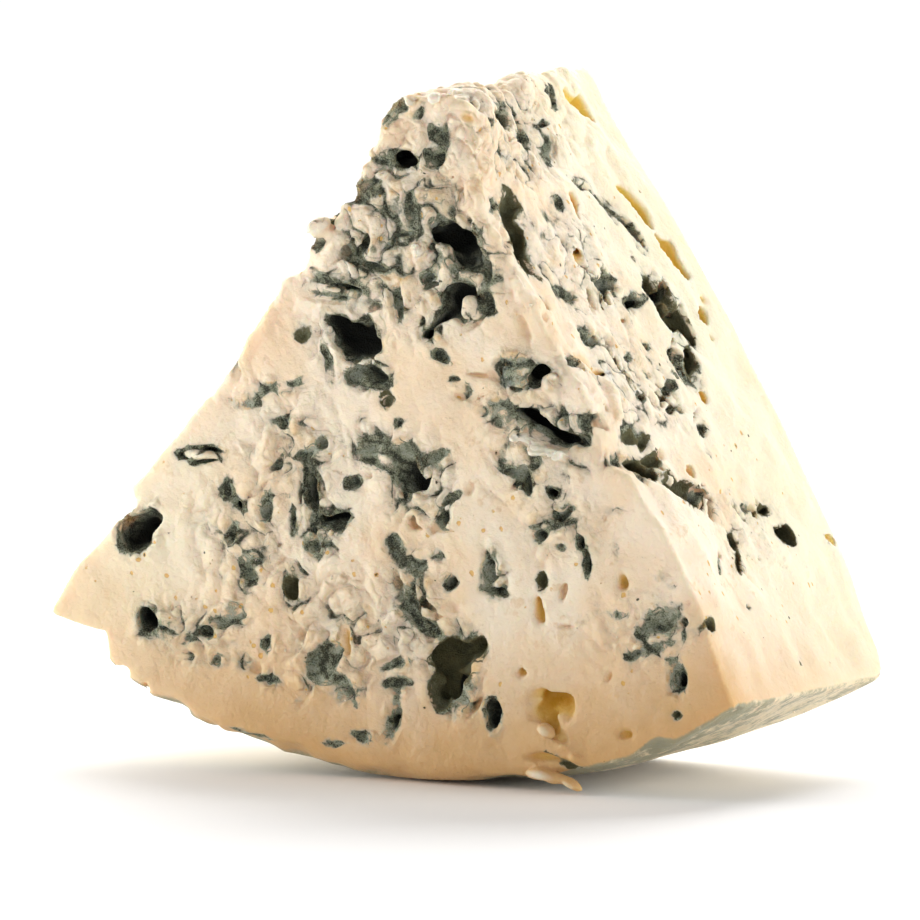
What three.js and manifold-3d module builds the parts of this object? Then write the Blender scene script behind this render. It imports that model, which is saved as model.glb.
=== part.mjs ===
// A wedge of blue cheese, cut from half of a cheese wheel and stood on its rind with the tip up.
// Units are millimetres. +Z is up, +X is to the right and +Y is from the cut mid-plane to the flat rind.
// The origin is on the surface that the wedge stands on, under the wheel's axis and halfway through the slice.

import * as THREE from "three";
import { mergeVertices } from "three/addons/utils/BufferGeometryUtils.js";
import Module from "manifold-3d";

// Driving dimensions: the wheel.
const WHEEL_RADIUS = 100;
const SLICE_THICKNESS = 48; // half of the wheel's height
const RIM_ROUNDING = 6; // where the flat rind turns into the curved rind
const RIM_STEPS = 180; // segments round a full wheel

// The two knife cuts, as angles from straight down at the wheel's axis.
const LEFT_CUT_DEG = 38.4;
const RIGHT_CUT_DEG = 30.1;

// The soft paste sags flat where it stands, and the sag runs out into the round rind at FOOT_SPREAD.
const FOOT_HALF_WIDTH = 13;
const FOOT_SPREAD = 26;

// The tip is blunt, and a crumbled head of paste sags out over both knife cuts at its front end.
const TIP_DROP = 1.8; // how far the top lies under the wheel's axis
const HEAD_DROP = 2.5; // the same for the head's top
const HEAD_HEIGHT = 13; // from the head's top down to where its sides meet the knife cuts
const HEAD_SHOULDER = 4; // height of the slope between the head's top and its sides
const HEAD_HALF_WIDTH = 7.8;
const HEAD_TOP_HALF_WIDTH = 4.5;
const HEAD_DEPTH = 13; // from the front cut face
const HEAD_ROUNDING = 3;

// The corner flake that has broken out of the left end of the rind.
const CORNER_BREAK_LENGTH = 10.5;
const CORNER_BREAK_FLOOR = [0.8, -2.8]; // height of the break over the corner, at its tip and its inner end
const CORNER_BREAK_UNDERCUT = 0.4;
const CORNER_BREAK_DEPTH = 29; // from the front cut face

const AXIS_HEIGHT = WHEEL_RADIUS;
const FRONT = -SLICE_THICKNESS / 2;
const BACK = SLICE_THICKNESS / 2;
const OVERCUT = 5; // how far a cutter runs past what it cuts
const BEVEL_STEPS = 4; // segments across a rounding
const POCKET_DETAIL = 1; // subdivisions of the icosahedron that cuts a pocket

const RADIUS_SHARE = WHEEL_RADIUS / 100;
const THICKNESS_SHARE = SLICE_THICKNESS / 100;

const leftCut = THREE.MathUtils.degToRad(LEFT_CUT_DEG);
const rightCut = THREE.MathUtils.degToRad(RIGHT_CUT_DEG);

// Mould pockets in the front cut face. x and z place the pocket, in hundredths of the wheel's radius.
// wide and high are its half sizes, deep is how far it reaches into the paste, all in millimetres,
// and tilt turns it anticlockwise as seen from the front.
const FRONT_POCKETS = [
  { x: 5, z: 77.5, wide: 3.6, high: 3, deep: 6, tilt: 20 },
  { x: -11.5, z: 63.5, wide: 4.3, high: 2.2, deep: 6, tilt: -32 },
  { x: -9.3, z: 57.6, wide: 2.9, high: 1.5, deep: 2.5, tilt: 0 },
  { x: 17.3, z: 59.6, wide: 1.8, high: 1.5, deep: 5, tilt: 0 },
  { x: 20, z: 51.8, wide: 5, high: 1.6, deep: 5.5, tilt: -16 },
  { x: -3, z: 43.8, wide: 2, high: 2, deep: 5, tilt: 0 },
  { x: -8.6, z: 47, wide: 2.6, high: 2, deep: 2, tilt: -30 },
  { x: -15, z: 37.3, wide: 2.3, high: 1.5, deep: 5, tilt: 8 },
  { x: -18.3, z: 42, wide: 3.6, high: 0.9, deep: 3, tilt: -72 },
  { x: -47.3, z: 33.6, wide: 2.9, high: 2.4, deep: 5, tilt: 35 },
  { x: -45.2, z: 21, wide: 1.9, high: 2, deep: 4, tilt: 0 },
  { x: -34.8, z: 20.8, wide: 1.4, high: 1.3, deep: 3.5, tilt: 0 },
  { x: 5, z: 16.5, wide: 2.9, high: 5.4, deep: 7, tilt: -8 },
  { x: 19.5, z: 11.8, wide: 3.6, high: 2.7, deep: 4, tilt: -10 },
  { x: 11.2, z: 9.7, wide: 1, high: 2.2, deep: 3, tilt: 0 },
  { x: 37.4, z: 24.6, wide: 3.2, high: 2.6, deep: 2.2, tilt: 20 },
  { x: 40.1, z: 17.2, wide: 1.1, high: 2.3, deep: 3, tilt: 6 },
  { x: -21.2, z: 26.4, wide: 1.3, high: 3, deep: 3, tilt: 12 },
  { x: -16.4, z: 16.3, wide: 2.2, high: 2.4, deep: 1.8, tilt: 0 },
  { x: -5.6, z: 8.1, wide: 0.9, high: 2.3, deep: 3, tilt: -18 },
  { x: 6.2, z: 68.6, wide: 1.9, high: 1.7, deep: 3.5, tilt: 0 },
  { x: -4.6, z: 88.6, wide: 2.8, high: 1.3, deep: 4, tilt: 8 },
];

// Cracks and holes in a radial cut face. in places one between the front cut face and the flat rind, in
// hundredths of the thickness, and down places it along the face from the wheel's axis, in hundredths of
// the radius. long and wide are its half sizes along and across the face, and deep how far it reaches into
// the paste, all in millimetres. lean turns the long way towards the flat rind.
const RIGHT_CRACKS = [
  { in: 12, down: 26.5, long: 6.4, wide: 1.7, deep: 5, lean: -14 },
  { in: 72, down: 39.8, long: 6.8, wide: 2.4, deep: 5, lean: 22 },
  { in: 69, down: 49.6, long: 3.4, wide: 1.3, deep: 4, lean: -22 },
  { in: 36, down: 7, long: 2.2, wide: 2, deep: 4, lean: 0 },
  { in: 85, down: 7.4, long: 2.6, wide: 2.2, deep: 3, lean: 20 },
  { in: 66, down: 23.2, long: 8, wide: 0.8, deep: 3, lean: 42 },
  { in: 12, down: 63.6, long: 4.4, wide: 1.9, deep: 5, lean: 58 },
  { in: 28, down: 68.6, long: 4.2, wide: 1.8, deep: 5, lean: 62 },
  { in: 45, down: 76.4, long: 1.6, wide: 1.4, deep: 3.5, lean: 30 },
  { in: 41, down: 79.6, long: 1.5, wide: 2, deep: 4, lean: 0 },
  { in: 73, down: 76, long: 1.6, wide: 1.7, deep: 3.5, lean: 0 },
  { in: 53, down: 38.4, long: 1.5, wide: 2.1, deep: 3, lean: 0 },
];
const LEFT_CRACKS = [
  { in: 23, down: 33, long: 6.2, wide: 1.6, deep: 5, lean: 12 },
  { in: 65, down: 46, long: 7.4, wide: 2.1, deep: 5, lean: -16 },
  { in: 42, down: 63, long: 4.6, wide: 1.8, deep: 4.5, lean: 24 },
  { in: 77, down: 71, long: 4.8, wide: 1.6, deep: 4, lean: -8 },
  { in: 19, down: 78, long: 2.4, wide: 2, deep: 4, lean: 0 },
  { in: 54, down: 22, long: 3.6, wide: 1.5, deep: 4, lean: 30 },
];

const wasm = await Module();
wasm.setup();

// A closed three.js geometry, moved by a matrix, as a manifold-3d solid.
function solidFrom(geometry, matrix = new THREE.Matrix4()) {
  const bare = new THREE.BufferGeometry();
  const flat = geometry.index ? geometry.toNonIndexed() : geometry;
  bare.setAttribute("position", flat.getAttribute("position").clone());
  bare.applyMatrix4(matrix);
  const merged = mergeVertices(bare, 1e-4);
  return new wasm.Manifold(
    new wasm.Mesh({
      numProp: 3,
      vertProperties: new Float32Array(merged.getAttribute("position").array),
      triVerts: new Uint32Array(merged.index.array),
    }),
  );
}

// A manifold-3d solid as a three.js geometry with flat shading.
function geometryFrom(solid) {
  const mesh = solid.getMesh();
  const geometry = new THREE.BufferGeometry();
  geometry.setAttribute("position", new THREE.BufferAttribute(mesh.vertProperties, 3));
  geometry.setIndex(new THREE.BufferAttribute(mesh.triVerts, 1));
  const faceted = geometry.toNonIndexed();
  faceted.computeVertexNormals();
  return faceted;
}

// Extrudes an outline drawn in X and Z along +Y, from one depth to another.
function extrudeAlongY(shape, from, to, rounding = 0) {
  const geometry = new THREE.ExtrudeGeometry(shape, {
    depth: to - from - 2 * rounding,
    bevelEnabled: rounding > 0,
    bevelSize: rounding,
    bevelThickness: rounding,
    bevelOffset: -rounding,
    bevelSegments: BEVEL_STEPS,
    steps: 1,
  });
  const stand = new THREE.Matrix4().makeRotationX(Math.PI / 2);
  const place = new THREE.Matrix4().makeTranslation(0, to - rounding, 0);
  return solidFrom(geometry, place.multiply(stand));
}

// Height of the round rind over the surface at a distance x from the wheel's axis.
function rindHeight(x) {
  return AXIS_HEIGHT - Math.sqrt(WHEEL_RADIUS ** 2 - x ** 2);
}

// The outline of the whole wheel, flattened at the foot.
function wheelOutline() {
  const spread = Math.asin(FOOT_SPREAD / WHEEL_RADIUS);
  const outline = new THREE.Shape();
  outline.moveTo(-FOOT_HALF_WIDTH, 0);
  outline.lineTo(FOOT_HALF_WIDTH, 0);
  const arcSteps = Math.round(RIM_STEPS * (1 - spread / Math.PI));
  for (let i = 0; i <= arcSteps; i++) {
    const turn = spread + ((2 * Math.PI - 2 * spread) * i) / arcSteps;
    outline.lineTo(WHEEL_RADIUS * Math.sin(turn), AXIS_HEIGHT - WHEEL_RADIUS * Math.cos(turn));
  }
  outline.closePath();
  return outline;
}

// The whole wheel, with both flat ends rounded into the rim, cut through at half of its height.
function halfWheel() {
  const wheel = extrudeAlongY(wheelOutline(), FRONT - SLICE_THICKNESS, BACK, RIM_ROUNDING);
  const keep = new THREE.BoxGeometry(3 * WHEEL_RADIUS, SLICE_THICKNESS + OVERCUT, 3 * WHEEL_RADIUS);
  const place = new THREE.Matrix4().makeTranslation(0, OVERCUT / 2, AXIS_HEIGHT);
  return wheel.intersect(solidFrom(keep, place));
}

// Where a knife cut lies at a distance below the wheel's axis. side is 1 for the right cut, -1 for the left.
function cutX(side, drop) {
  return side * drop * Math.tan(side > 0 ? rightCut : leftCut);
}

// A closed outline from points given as x and the distance below the wheel's axis.
function outlineBelowAxis(points) {
  return new THREE.Shape(points.map(([x, drop]) => new THREE.Vector2(x, AXIS_HEIGHT - drop)));
}

// What the two knife cuts leave, down from the blunt tip.
function knifeCuts() {
  const reach = 1.5 * WHEEL_RADIUS;
  const outline = outlineBelowAxis([
    [cutX(-1, reach), reach],
    [cutX(1, reach), reach],
    [cutX(1, TIP_DROP), TIP_DROP],
    [cutX(-1, TIP_DROP), TIP_DROP],
  ]);
  return extrudeAlongY(outline, FRONT - OVERCUT, BACK + OVERCUT);
}

// The crumbled head at the front end of the tip.
function crumbledHead() {
  const foot = HEAD_DROP + HEAD_HEIGHT;
  const shoulder = HEAD_DROP + HEAD_SHOULDER;
  const outline = outlineBelowAxis([
    [cutX(-1, foot), foot],
    [cutX(1, foot), foot],
    [HEAD_HALF_WIDTH, shoulder],
    [HEAD_TOP_HALF_WIDTH, HEAD_DROP],
    [-HEAD_TOP_HALF_WIDTH, HEAD_DROP],
    [-HEAD_HALF_WIDTH, shoulder],
  ]);
  return extrudeAlongY(outline, FRONT - HEAD_DEPTH, FRONT + HEAD_DEPTH, HEAD_ROUNDING);
}

// The flake missing from the rind at the left corner.
function cornerBreak() {
  const cornerX = -WHEEL_RADIUS * Math.sin(leftCut);
  const cornerZ = rindHeight(cornerX);
  const stopX = cornerX + CORNER_BREAK_LENGTH;
  const below = rindHeight(stopX) - OVERCUT;
  const [tipRise, endRise] = CORNER_BREAK_FLOOR;
  const outline = new THREE.Shape();
  outline.moveTo(cornerX - OVERCUT, cornerZ + tipRise);
  outline.lineTo(stopX - CORNER_BREAK_UNDERCUT, cornerZ + endRise);
  outline.lineTo(stopX, below);
  outline.lineTo(cornerX - OVERCUT, below);
  outline.closePath();
  return extrudeAlongY(outline, FRONT - OVERCUT, FRONT + CORNER_BREAK_DEPTH);
}

// A lens-shaped hollow with its half sizes along the columns of a frame of unit vectors.
function pocket(centre, along, across, inward, sizes) {
  const frame = new THREE.Matrix4().makeBasis(along, across, inward);
  const stretch = new THREE.Matrix4().makeScale(...sizes);
  const place = new THREE.Matrix4().makeTranslation(centre.x, centre.y, centre.z);
  return solidFrom(
    new THREE.IcosahedronGeometry(1, POCKET_DETAIL),
    place.multiply(frame).multiply(stretch),
  );
}

function frontPocket({ x, z, wide, high, deep, tilt }) {
  const turn = THREE.MathUtils.degToRad(tilt);
  const along = new THREE.Vector3(Math.cos(turn), 0, Math.sin(turn));
  const inward = new THREE.Vector3(0, 1, 0);
  const across = new THREE.Vector3().crossVectors(inward, along);
  const centre = new THREE.Vector3(x * RADIUS_SHARE, FRONT, z * RADIUS_SHARE);
  return pocket(centre, along, across, inward, [wide, high, deep]);
}

// side is 1 for the right cut face and -1 for the left one.
function sideCrack(side, { in: inset, down, long, wide, deep, lean }) {
  const cut = side > 0 ? rightCut : leftCut;
  const downFace = new THREE.Vector3(side * Math.sin(cut), 0, -Math.cos(cut));
  const inward = new THREE.Vector3(-side * Math.cos(cut), 0, -Math.sin(cut));
  const turn = THREE.MathUtils.degToRad(lean);
  const along = downFace.clone().multiplyScalar(Math.cos(turn));
  along.y = Math.sin(turn);
  const across = new THREE.Vector3().crossVectors(inward, along);
  const centre = downFace.clone().multiplyScalar(down * RADIUS_SHARE);
  centre.y = FRONT + inset * THICKNESS_SHARE;
  centre.z += AXIS_HEIGHT;
  return pocket(centre, along, across, inward, [long, wide, deep]);
}

const hollows = [
  ...FRONT_POCKETS.map(frontPocket),
  ...RIGHT_CRACKS.map((crack) => sideCrack(1, crack)),
  ...LEFT_CRACKS.map((crack) => sideCrack(-1, crack)),
];
let wedge = halfWheel().intersect(knifeCuts().add(crumbledHead())).subtract(cornerBreak());
for (const hollow of hollows) {
  wedge = wedge.subtract(hollow);
}

const paste = new THREE.MeshStandardMaterial({ color: 0xeedcc0, roughness: 0.55, metalness: 0 });
const cheese = new THREE.Mesh(geometryFrom(wedge), paste);
cheese.name = "cheese_wedge";

const part = new THREE.Group();
part.add(cheese);

export default part;
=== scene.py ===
"""A wedge of blue cheese, standing on its curved rind with the crumbled tip up.

The paste is carved in a sampled distance field in millimetres: the wheel, the two knife cuts, the torn edges
and every hollow. The field becomes one closed mesh in metres, and Geometry Nodes raise the curd grains on it
and scatter the crumbs that cling to it.
"""

from __future__ import annotations

import logging
import math
from dataclasses import dataclass, field
from enum import Enum
from itertools import product
from typing import Any, Iterable

import bpy
import numpy as np
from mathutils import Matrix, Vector


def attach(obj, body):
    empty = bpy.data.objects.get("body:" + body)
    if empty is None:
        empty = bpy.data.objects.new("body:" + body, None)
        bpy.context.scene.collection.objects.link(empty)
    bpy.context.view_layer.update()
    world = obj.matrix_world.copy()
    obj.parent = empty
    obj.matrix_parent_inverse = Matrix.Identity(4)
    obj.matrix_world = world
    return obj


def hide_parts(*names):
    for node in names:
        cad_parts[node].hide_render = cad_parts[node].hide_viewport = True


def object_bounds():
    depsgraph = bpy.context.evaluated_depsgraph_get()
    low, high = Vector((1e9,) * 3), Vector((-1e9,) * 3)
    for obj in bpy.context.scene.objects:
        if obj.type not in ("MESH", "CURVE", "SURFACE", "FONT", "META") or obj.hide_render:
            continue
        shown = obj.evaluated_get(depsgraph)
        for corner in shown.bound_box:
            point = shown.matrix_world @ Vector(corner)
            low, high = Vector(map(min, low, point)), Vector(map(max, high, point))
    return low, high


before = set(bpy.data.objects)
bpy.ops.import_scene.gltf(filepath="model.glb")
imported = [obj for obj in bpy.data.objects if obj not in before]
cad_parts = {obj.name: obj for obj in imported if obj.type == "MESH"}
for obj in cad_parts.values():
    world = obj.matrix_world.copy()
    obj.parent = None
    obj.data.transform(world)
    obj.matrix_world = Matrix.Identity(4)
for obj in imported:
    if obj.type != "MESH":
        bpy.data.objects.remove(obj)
CAD_BOUNDS = [[float(value) for value in corner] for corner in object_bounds()]

LOG = logging.getLogger("cheese")
MM = 0.001
SEED = 41
FULL_TURN = 6.28

Vector3 = tuple[float, float, float]
Colour = tuple[float, float, float]


# ---------------------------------------------------------------------------------------------------------
# Node trees
# ---------------------------------------------------------------------------------------------------------


class Link:
    """An output socket of a node, with arithmetic written as Python operators."""

    def __init__(self, sheet: "NodeSheet", socket: bpy.types.NodeSocket) -> None:
        """Wraps one socket.

        Args:
            sheet: The node sheet that the socket belongs to.
            socket: The output socket.
        """
        self.sheet = sheet
        self.socket = socket

    def _maths(self, operation: str, first: Any, second: Any) -> "Link":
        """Adds one Math node."""
        return self.sheet.node("ShaderNodeMath", {"operation": operation}, {0: first, 1: second})

    def __add__(self, other: "Link | float") -> "Link":
        """Sum."""
        return self._maths("ADD", self, other)

    def __radd__(self, other: float) -> "Link":
        """Sum with a number on the left."""
        return self._maths("ADD", other, self)

    def __sub__(self, other: "Link | float") -> "Link":
        """Difference."""
        return self._maths("SUBTRACT", self, other)

    def __rsub__(self, other: float) -> "Link":
        """Difference from a number."""
        return self._maths("SUBTRACT", other, self)

    def __mul__(self, other: "Link | float") -> "Link":
        """Product."""
        return self._maths("MULTIPLY", self, other)

    def __rmul__(self, other: float) -> "Link":
        """Product with a number on the left."""
        return self._maths("MULTIPLY", other, self)

    def __pow__(self, other: "Link | float") -> "Link":
        """Power."""
        return self._maths("POWER", self, other)

    def or_more(self, other: "Link | float") -> "Link":
        """The larger of two values."""
        return self._maths("MAXIMUM", self, other)

    def ramp(self, low: float, high: float) -> "Link":
        """A smooth step from 0 at low to 1 at high."""
        settings = {"interpolation_type": "SMOOTHSTEP"}
        return self.sheet.node("ShaderNodeMapRange", settings, {0: self, 1: low, 2: high, 3: 0.0, 4: 1.0})


class NodeSheet:
    """Adds nodes to a shader tree or a Geometry Nodes tree."""

    def __init__(self, tree: bpy.types.NodeTree) -> None:
        """Starts from an empty tree.

        Args:
            tree: The tree to fill.
        """
        tree.nodes.clear()
        self.tree = tree

    def node(self, kind: str, settings: dict[str, Any], sockets: dict[Any, Any], output: Any = 0) -> Link:
        """Adds a node.

        Args:
            kind: The node's type.
            settings: Properties of the node, which are set first.
            sockets: Values or links of its input sockets, by name or number.
            output: The name or number of the output that is wanted.

        Returns:
            The output as a link.
        """
        made = self.tree.nodes.new(kind)
        for name, value in settings.items():
            setattr(made, name, value)
        for key, value in sockets.items():
            if isinstance(value, Link):
                self.tree.links.new(value.socket, made.inputs[key])
            elif isinstance(value, (tuple, list)) and made.inputs[key].type == "RGBA":
                made.inputs[key].default_value = (*value, 1.0)
            else:
                made.inputs[key].default_value = value
        return Link(self, made.outputs[output] if len(made.outputs) else None)

    def vector_maths(self, operation: str, *values: Any) -> Link:
        """Adds one Vector Math node."""
        return self.node("ShaderNodeVectorMath", {"operation": operation}, dict(enumerate(values)))

    def noise(self, place: Link, scale: float, detail: float = 2.0, rough: float = 0.55) -> Link:
        """A noise value between about 0.2 and 0.8.

        Args:
            place: Where to read the noise, in millimetres.
            scale: Bumps per millimetre.
            detail: How many finer octaves are added.
            rough: How strong the finer octaves are.

        Returns:
            The noise value.
        """
        sockets = {"Vector": place, "Scale": scale, "Detail": detail, "Roughness": rough}
        return self.node("ShaderNodeTexNoise", {}, sockets)

    def colour_mix(self, share: Any, first: Any, second: Any) -> Link:
        """Mixes two colours.

        Args:
            share: How much of the second colour there is.
            first: A colour or a link.
            second: A colour or a link.

        Returns:
            The mixed colour.
        """
        settings = {"data_type": "RGBA", "clamp_factor": True}
        return self.node("ShaderNodeMix", settings, {0: share, 6: first, 7: second}, 2)

    def coordinate(self, vector: Link, axis: int) -> Link:
        """One coordinate of a vector."""
        return self.node("ShaderNodeSeparateXYZ", {}, {0: vector}, axis)

    def object_place(self) -> Link:
        """The place on a piece in a material, in millimetres."""
        place = self.node("ShaderNodeTexCoord", {}, {}, "Object")
        return self.vector_maths("MULTIPLY", place, (1 / MM,) * 3)

    def stored_value(self, name: str) -> Link:
        """A value stored on the vertices, in Geometry Nodes."""
        settings = {"data_type": "FLOAT"}
        return self.node("GeometryNodeInputNamedAttribute", settings, {"Name": name})

    def surface(self, sockets: dict[str, Any]) -> None:
        """Ends a material in a Principled shader.

        Args:
            sockets: Values or links of the shader's sockets.
        """
        shader = self.node("ShaderNodeBsdfPrincipled", {}, sockets)
        self.node("ShaderNodeOutputMaterial", {}, {"Surface": shader})


def started_material(name: str) -> tuple[bpy.types.Material, NodeSheet]:
    """Makes a node material and an empty sheet for its nodes.

    Args:
        name: The material's name.

    Returns:
        The material and the sheet.
    """
    material = bpy.data.materials.new(name)
    material.use_nodes = True
    return material, NodeSheet(material.node_tree)


class PasteTree:
    """A Geometry Nodes tree that works on the paste, with named sizes as its inputs."""

    def __init__(self, name: str, sizes: dict[str, float]) -> None:
        """Lays out the inputs and the output.

        Args:
            name: The tree's name.
            sizes: The value of each size input, by its name.
        """
        self.tree = bpy.data.node_groups.new(name, "GeometryNodeTree")
        self.sizes = sizes
        kinds = {"Paste": "NodeSocketGeometry", **{size: "NodeSocketFloat" for size in sizes}}
        for socket, kind in kinds.items():
            self.tree.interface.new_socket(socket, in_out="INPUT", socket_type=kind)
        self.tree.interface.new_socket("Result", in_out="OUTPUT", socket_type="NodeSocketGeometry")
        self.sheet = NodeSheet(self.tree)
        self.paste = self.sheet.node("NodeGroupInput", {}, {}, "Paste")

    def size(self, name: str) -> Link:
        """One of the size inputs."""
        return Link(self.sheet, self.paste.socket.node.outputs[name])

    def end(self, shape: Link, finish: bpy.types.Material) -> None:
        """Ends the tree in Realize Instances and Set Material.

        Args:
            shape: The geometry to give out.
            finish: Its material.
        """
        shape = self.sheet.node("GeometryNodeRealizeInstances", {}, {"Geometry": shape})
        dressed = {"Geometry": shape, "Material": finish}
        shape = self.sheet.node("GeometryNodeSetMaterial", {}, dressed)
        self.sheet.node("NodeGroupOutput", {}, {0: shape})

    def put_on(self, piece: bpy.types.Object) -> None:
        """Adds the tree to a piece as a modifier, with its sizes set.

        Args:
            piece: The piece that gets the modifier.
        """
        modifier = piece.modifiers.new(self.tree.name, "NODES")
        modifier.node_group = self.tree
        for item in self.tree.interface.items_tree:
            if item.in_out == "INPUT" and item.name in self.sizes:
                modifier[item.identifier] = self.sizes[item.name]


@dataclass(frozen=True)
class CurdGrains:
    """The pattern of curd grains that the paste breaks along, the same in the relief and in the finish.

    The slice depth says which slice of the noise the front face shows, counted in grains.
    """

    size: Vector3 = (4.6, 3.8, 4.3)
    origin: Vector3 = (0.0, -24.0, 0.0)
    slice_depth: float = -8.889
    fine_share: float = 0.5
    fine_shift: Vector3 = (17.0, 5.0, 9.0)
    bend: float = 0.35

    def pattern(self, sheet: NodeSheet, place: Link) -> tuple[Link, Link]:
        """Lays out the grains.

        Args:
            sheet: The node sheet to add to.
            place: The position in millimetres.

        Returns:
            The distance to the nearest seam between grains, and the same for smaller grains inside them.
        """
        cell = sheet.vector_maths("SUBTRACT", place, self.origin)
        cell = sheet.vector_maths("DIVIDE", cell, self.size)
        cell = sheet.vector_maths("ADD", cell, (0.0, self.slice_depth, 0.0))
        small = sheet.vector_maths("DIVIDE", cell, (self.fine_share,) * 3)
        small = sheet.vector_maths("ADD", small, self.fine_shift)
        return self._billow(sheet, cell), self._billow(sheet, small)

    def _billow(self, sheet: NodeSheet, cell: Link) -> Link:
        """Round lumps between sharp creases.

        Args:
            sheet: The node sheet to add to.
            cell: The position, in grains.

        Returns:
            The distance to the nearest crease.
        """
        sockets = {"Vector": cell, "Scale": 1.0, "Detail": 1.0, "Roughness": 0.4, "Distortion": self.bend}
        wave = sheet.node("ShaderNodeTexNoise", {}, sockets)
        return sheet.node("ShaderNodeMath", {"operation": "ABSOLUTE"}, {0: wave - 0.5}) * 4


# ---------------------------------------------------------------------------------------------------------
# Places on the wedge
# ---------------------------------------------------------------------------------------------------------


@dataclass(frozen=True)
class Wheel:
    """The wheel and the cuts that make the wedge, in millimetres and degrees."""

    radius: float = 100.0
    thick: float = 48.0
    rim: float = 6.0
    left_cut: float = 38.4
    right_cut: float = 30.1

    @property
    def front(self) -> float:
        """Where the front cut face lies along Y."""
        return -self.thick / 2


WHEEL = Wheel()


@dataclass(frozen=True)
class Face:
    """A face of the wedge, as a frame to place hollows and mould in."""

    origin: Vector3
    across: Vector3
    up: Vector3
    inward: Vector3

    def point(self, a: float, b: float) -> np.ndarray:
        """The place on the face at a across and b up."""
        return np.array(self.origin) + a * np.array(self.across) + b * np.array(self.up)


def radial_face(side: int, cut: float) -> Face:
    """A radial cut face, with a along the slice's thickness and b up from below the wheel's axis.

    Args:
        side: 1 for the right face and -1 for the left one.
        cut: The cut's angle from straight down.

    Returns:
        The face.
    """
    lean = math.radians(cut)
    up = (-side * math.sin(lean), 0.0, math.cos(lean))
    inward = (-side * math.cos(lean), 0.0, -math.sin(lean))
    return Face((0.0, WHEEL.front, WHEEL.radius), (0.0, 1.0, 0.0), up, inward)


FRONT = Face((0.0, WHEEL.front, 0.0), (1.0, 0.0, 0.0), (0.0, 0.0, 1.0), (0.0, 1.0, 0.0))
RIGHT = radial_face(1, WHEEL.right_cut)
LEFT = radial_face(-1, WHEEL.left_cut)


class Lining(Enum):
    """What covers the wall of a hollow."""

    MOULD = "mould"
    OLIVE = "olive"
    BARE = "bare"
    PLAIN = "plain"


@dataclass(frozen=True)
class Hollow:
    """A lens-shaped hollow in a face: place, half sizes, depth and tilt."""

    a: float
    b: float
    wide: float
    high: float
    deep: float
    tilt: float = 0.0
    lining: Lining = Lining.MOULD


@dataclass(frozen=True)
class Lump:
    """A crumb or flake of paste still joined to a face: place, half sizes, tilt and standing height."""

    a: float
    b: float
    wide: float
    high: float
    deep: float
    tilt: float = 0.0
    proud: float = 0.0


@dataclass(frozen=True)
class Bloom:
    """A patch of mould on a face: place, half sizes and strength."""

    a: float
    b: float
    wide: float
    high: float
    strength: float


def made(kind: type, rows: Iterable[tuple]) -> list[Any]:
    """Makes one object of a kind from each row of values."""
    return [kind(*row) for row in rows]


OLIVE, BARE, PLAIN = Lining.OLIVE, Lining.BARE, Lining.PLAIN

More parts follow.
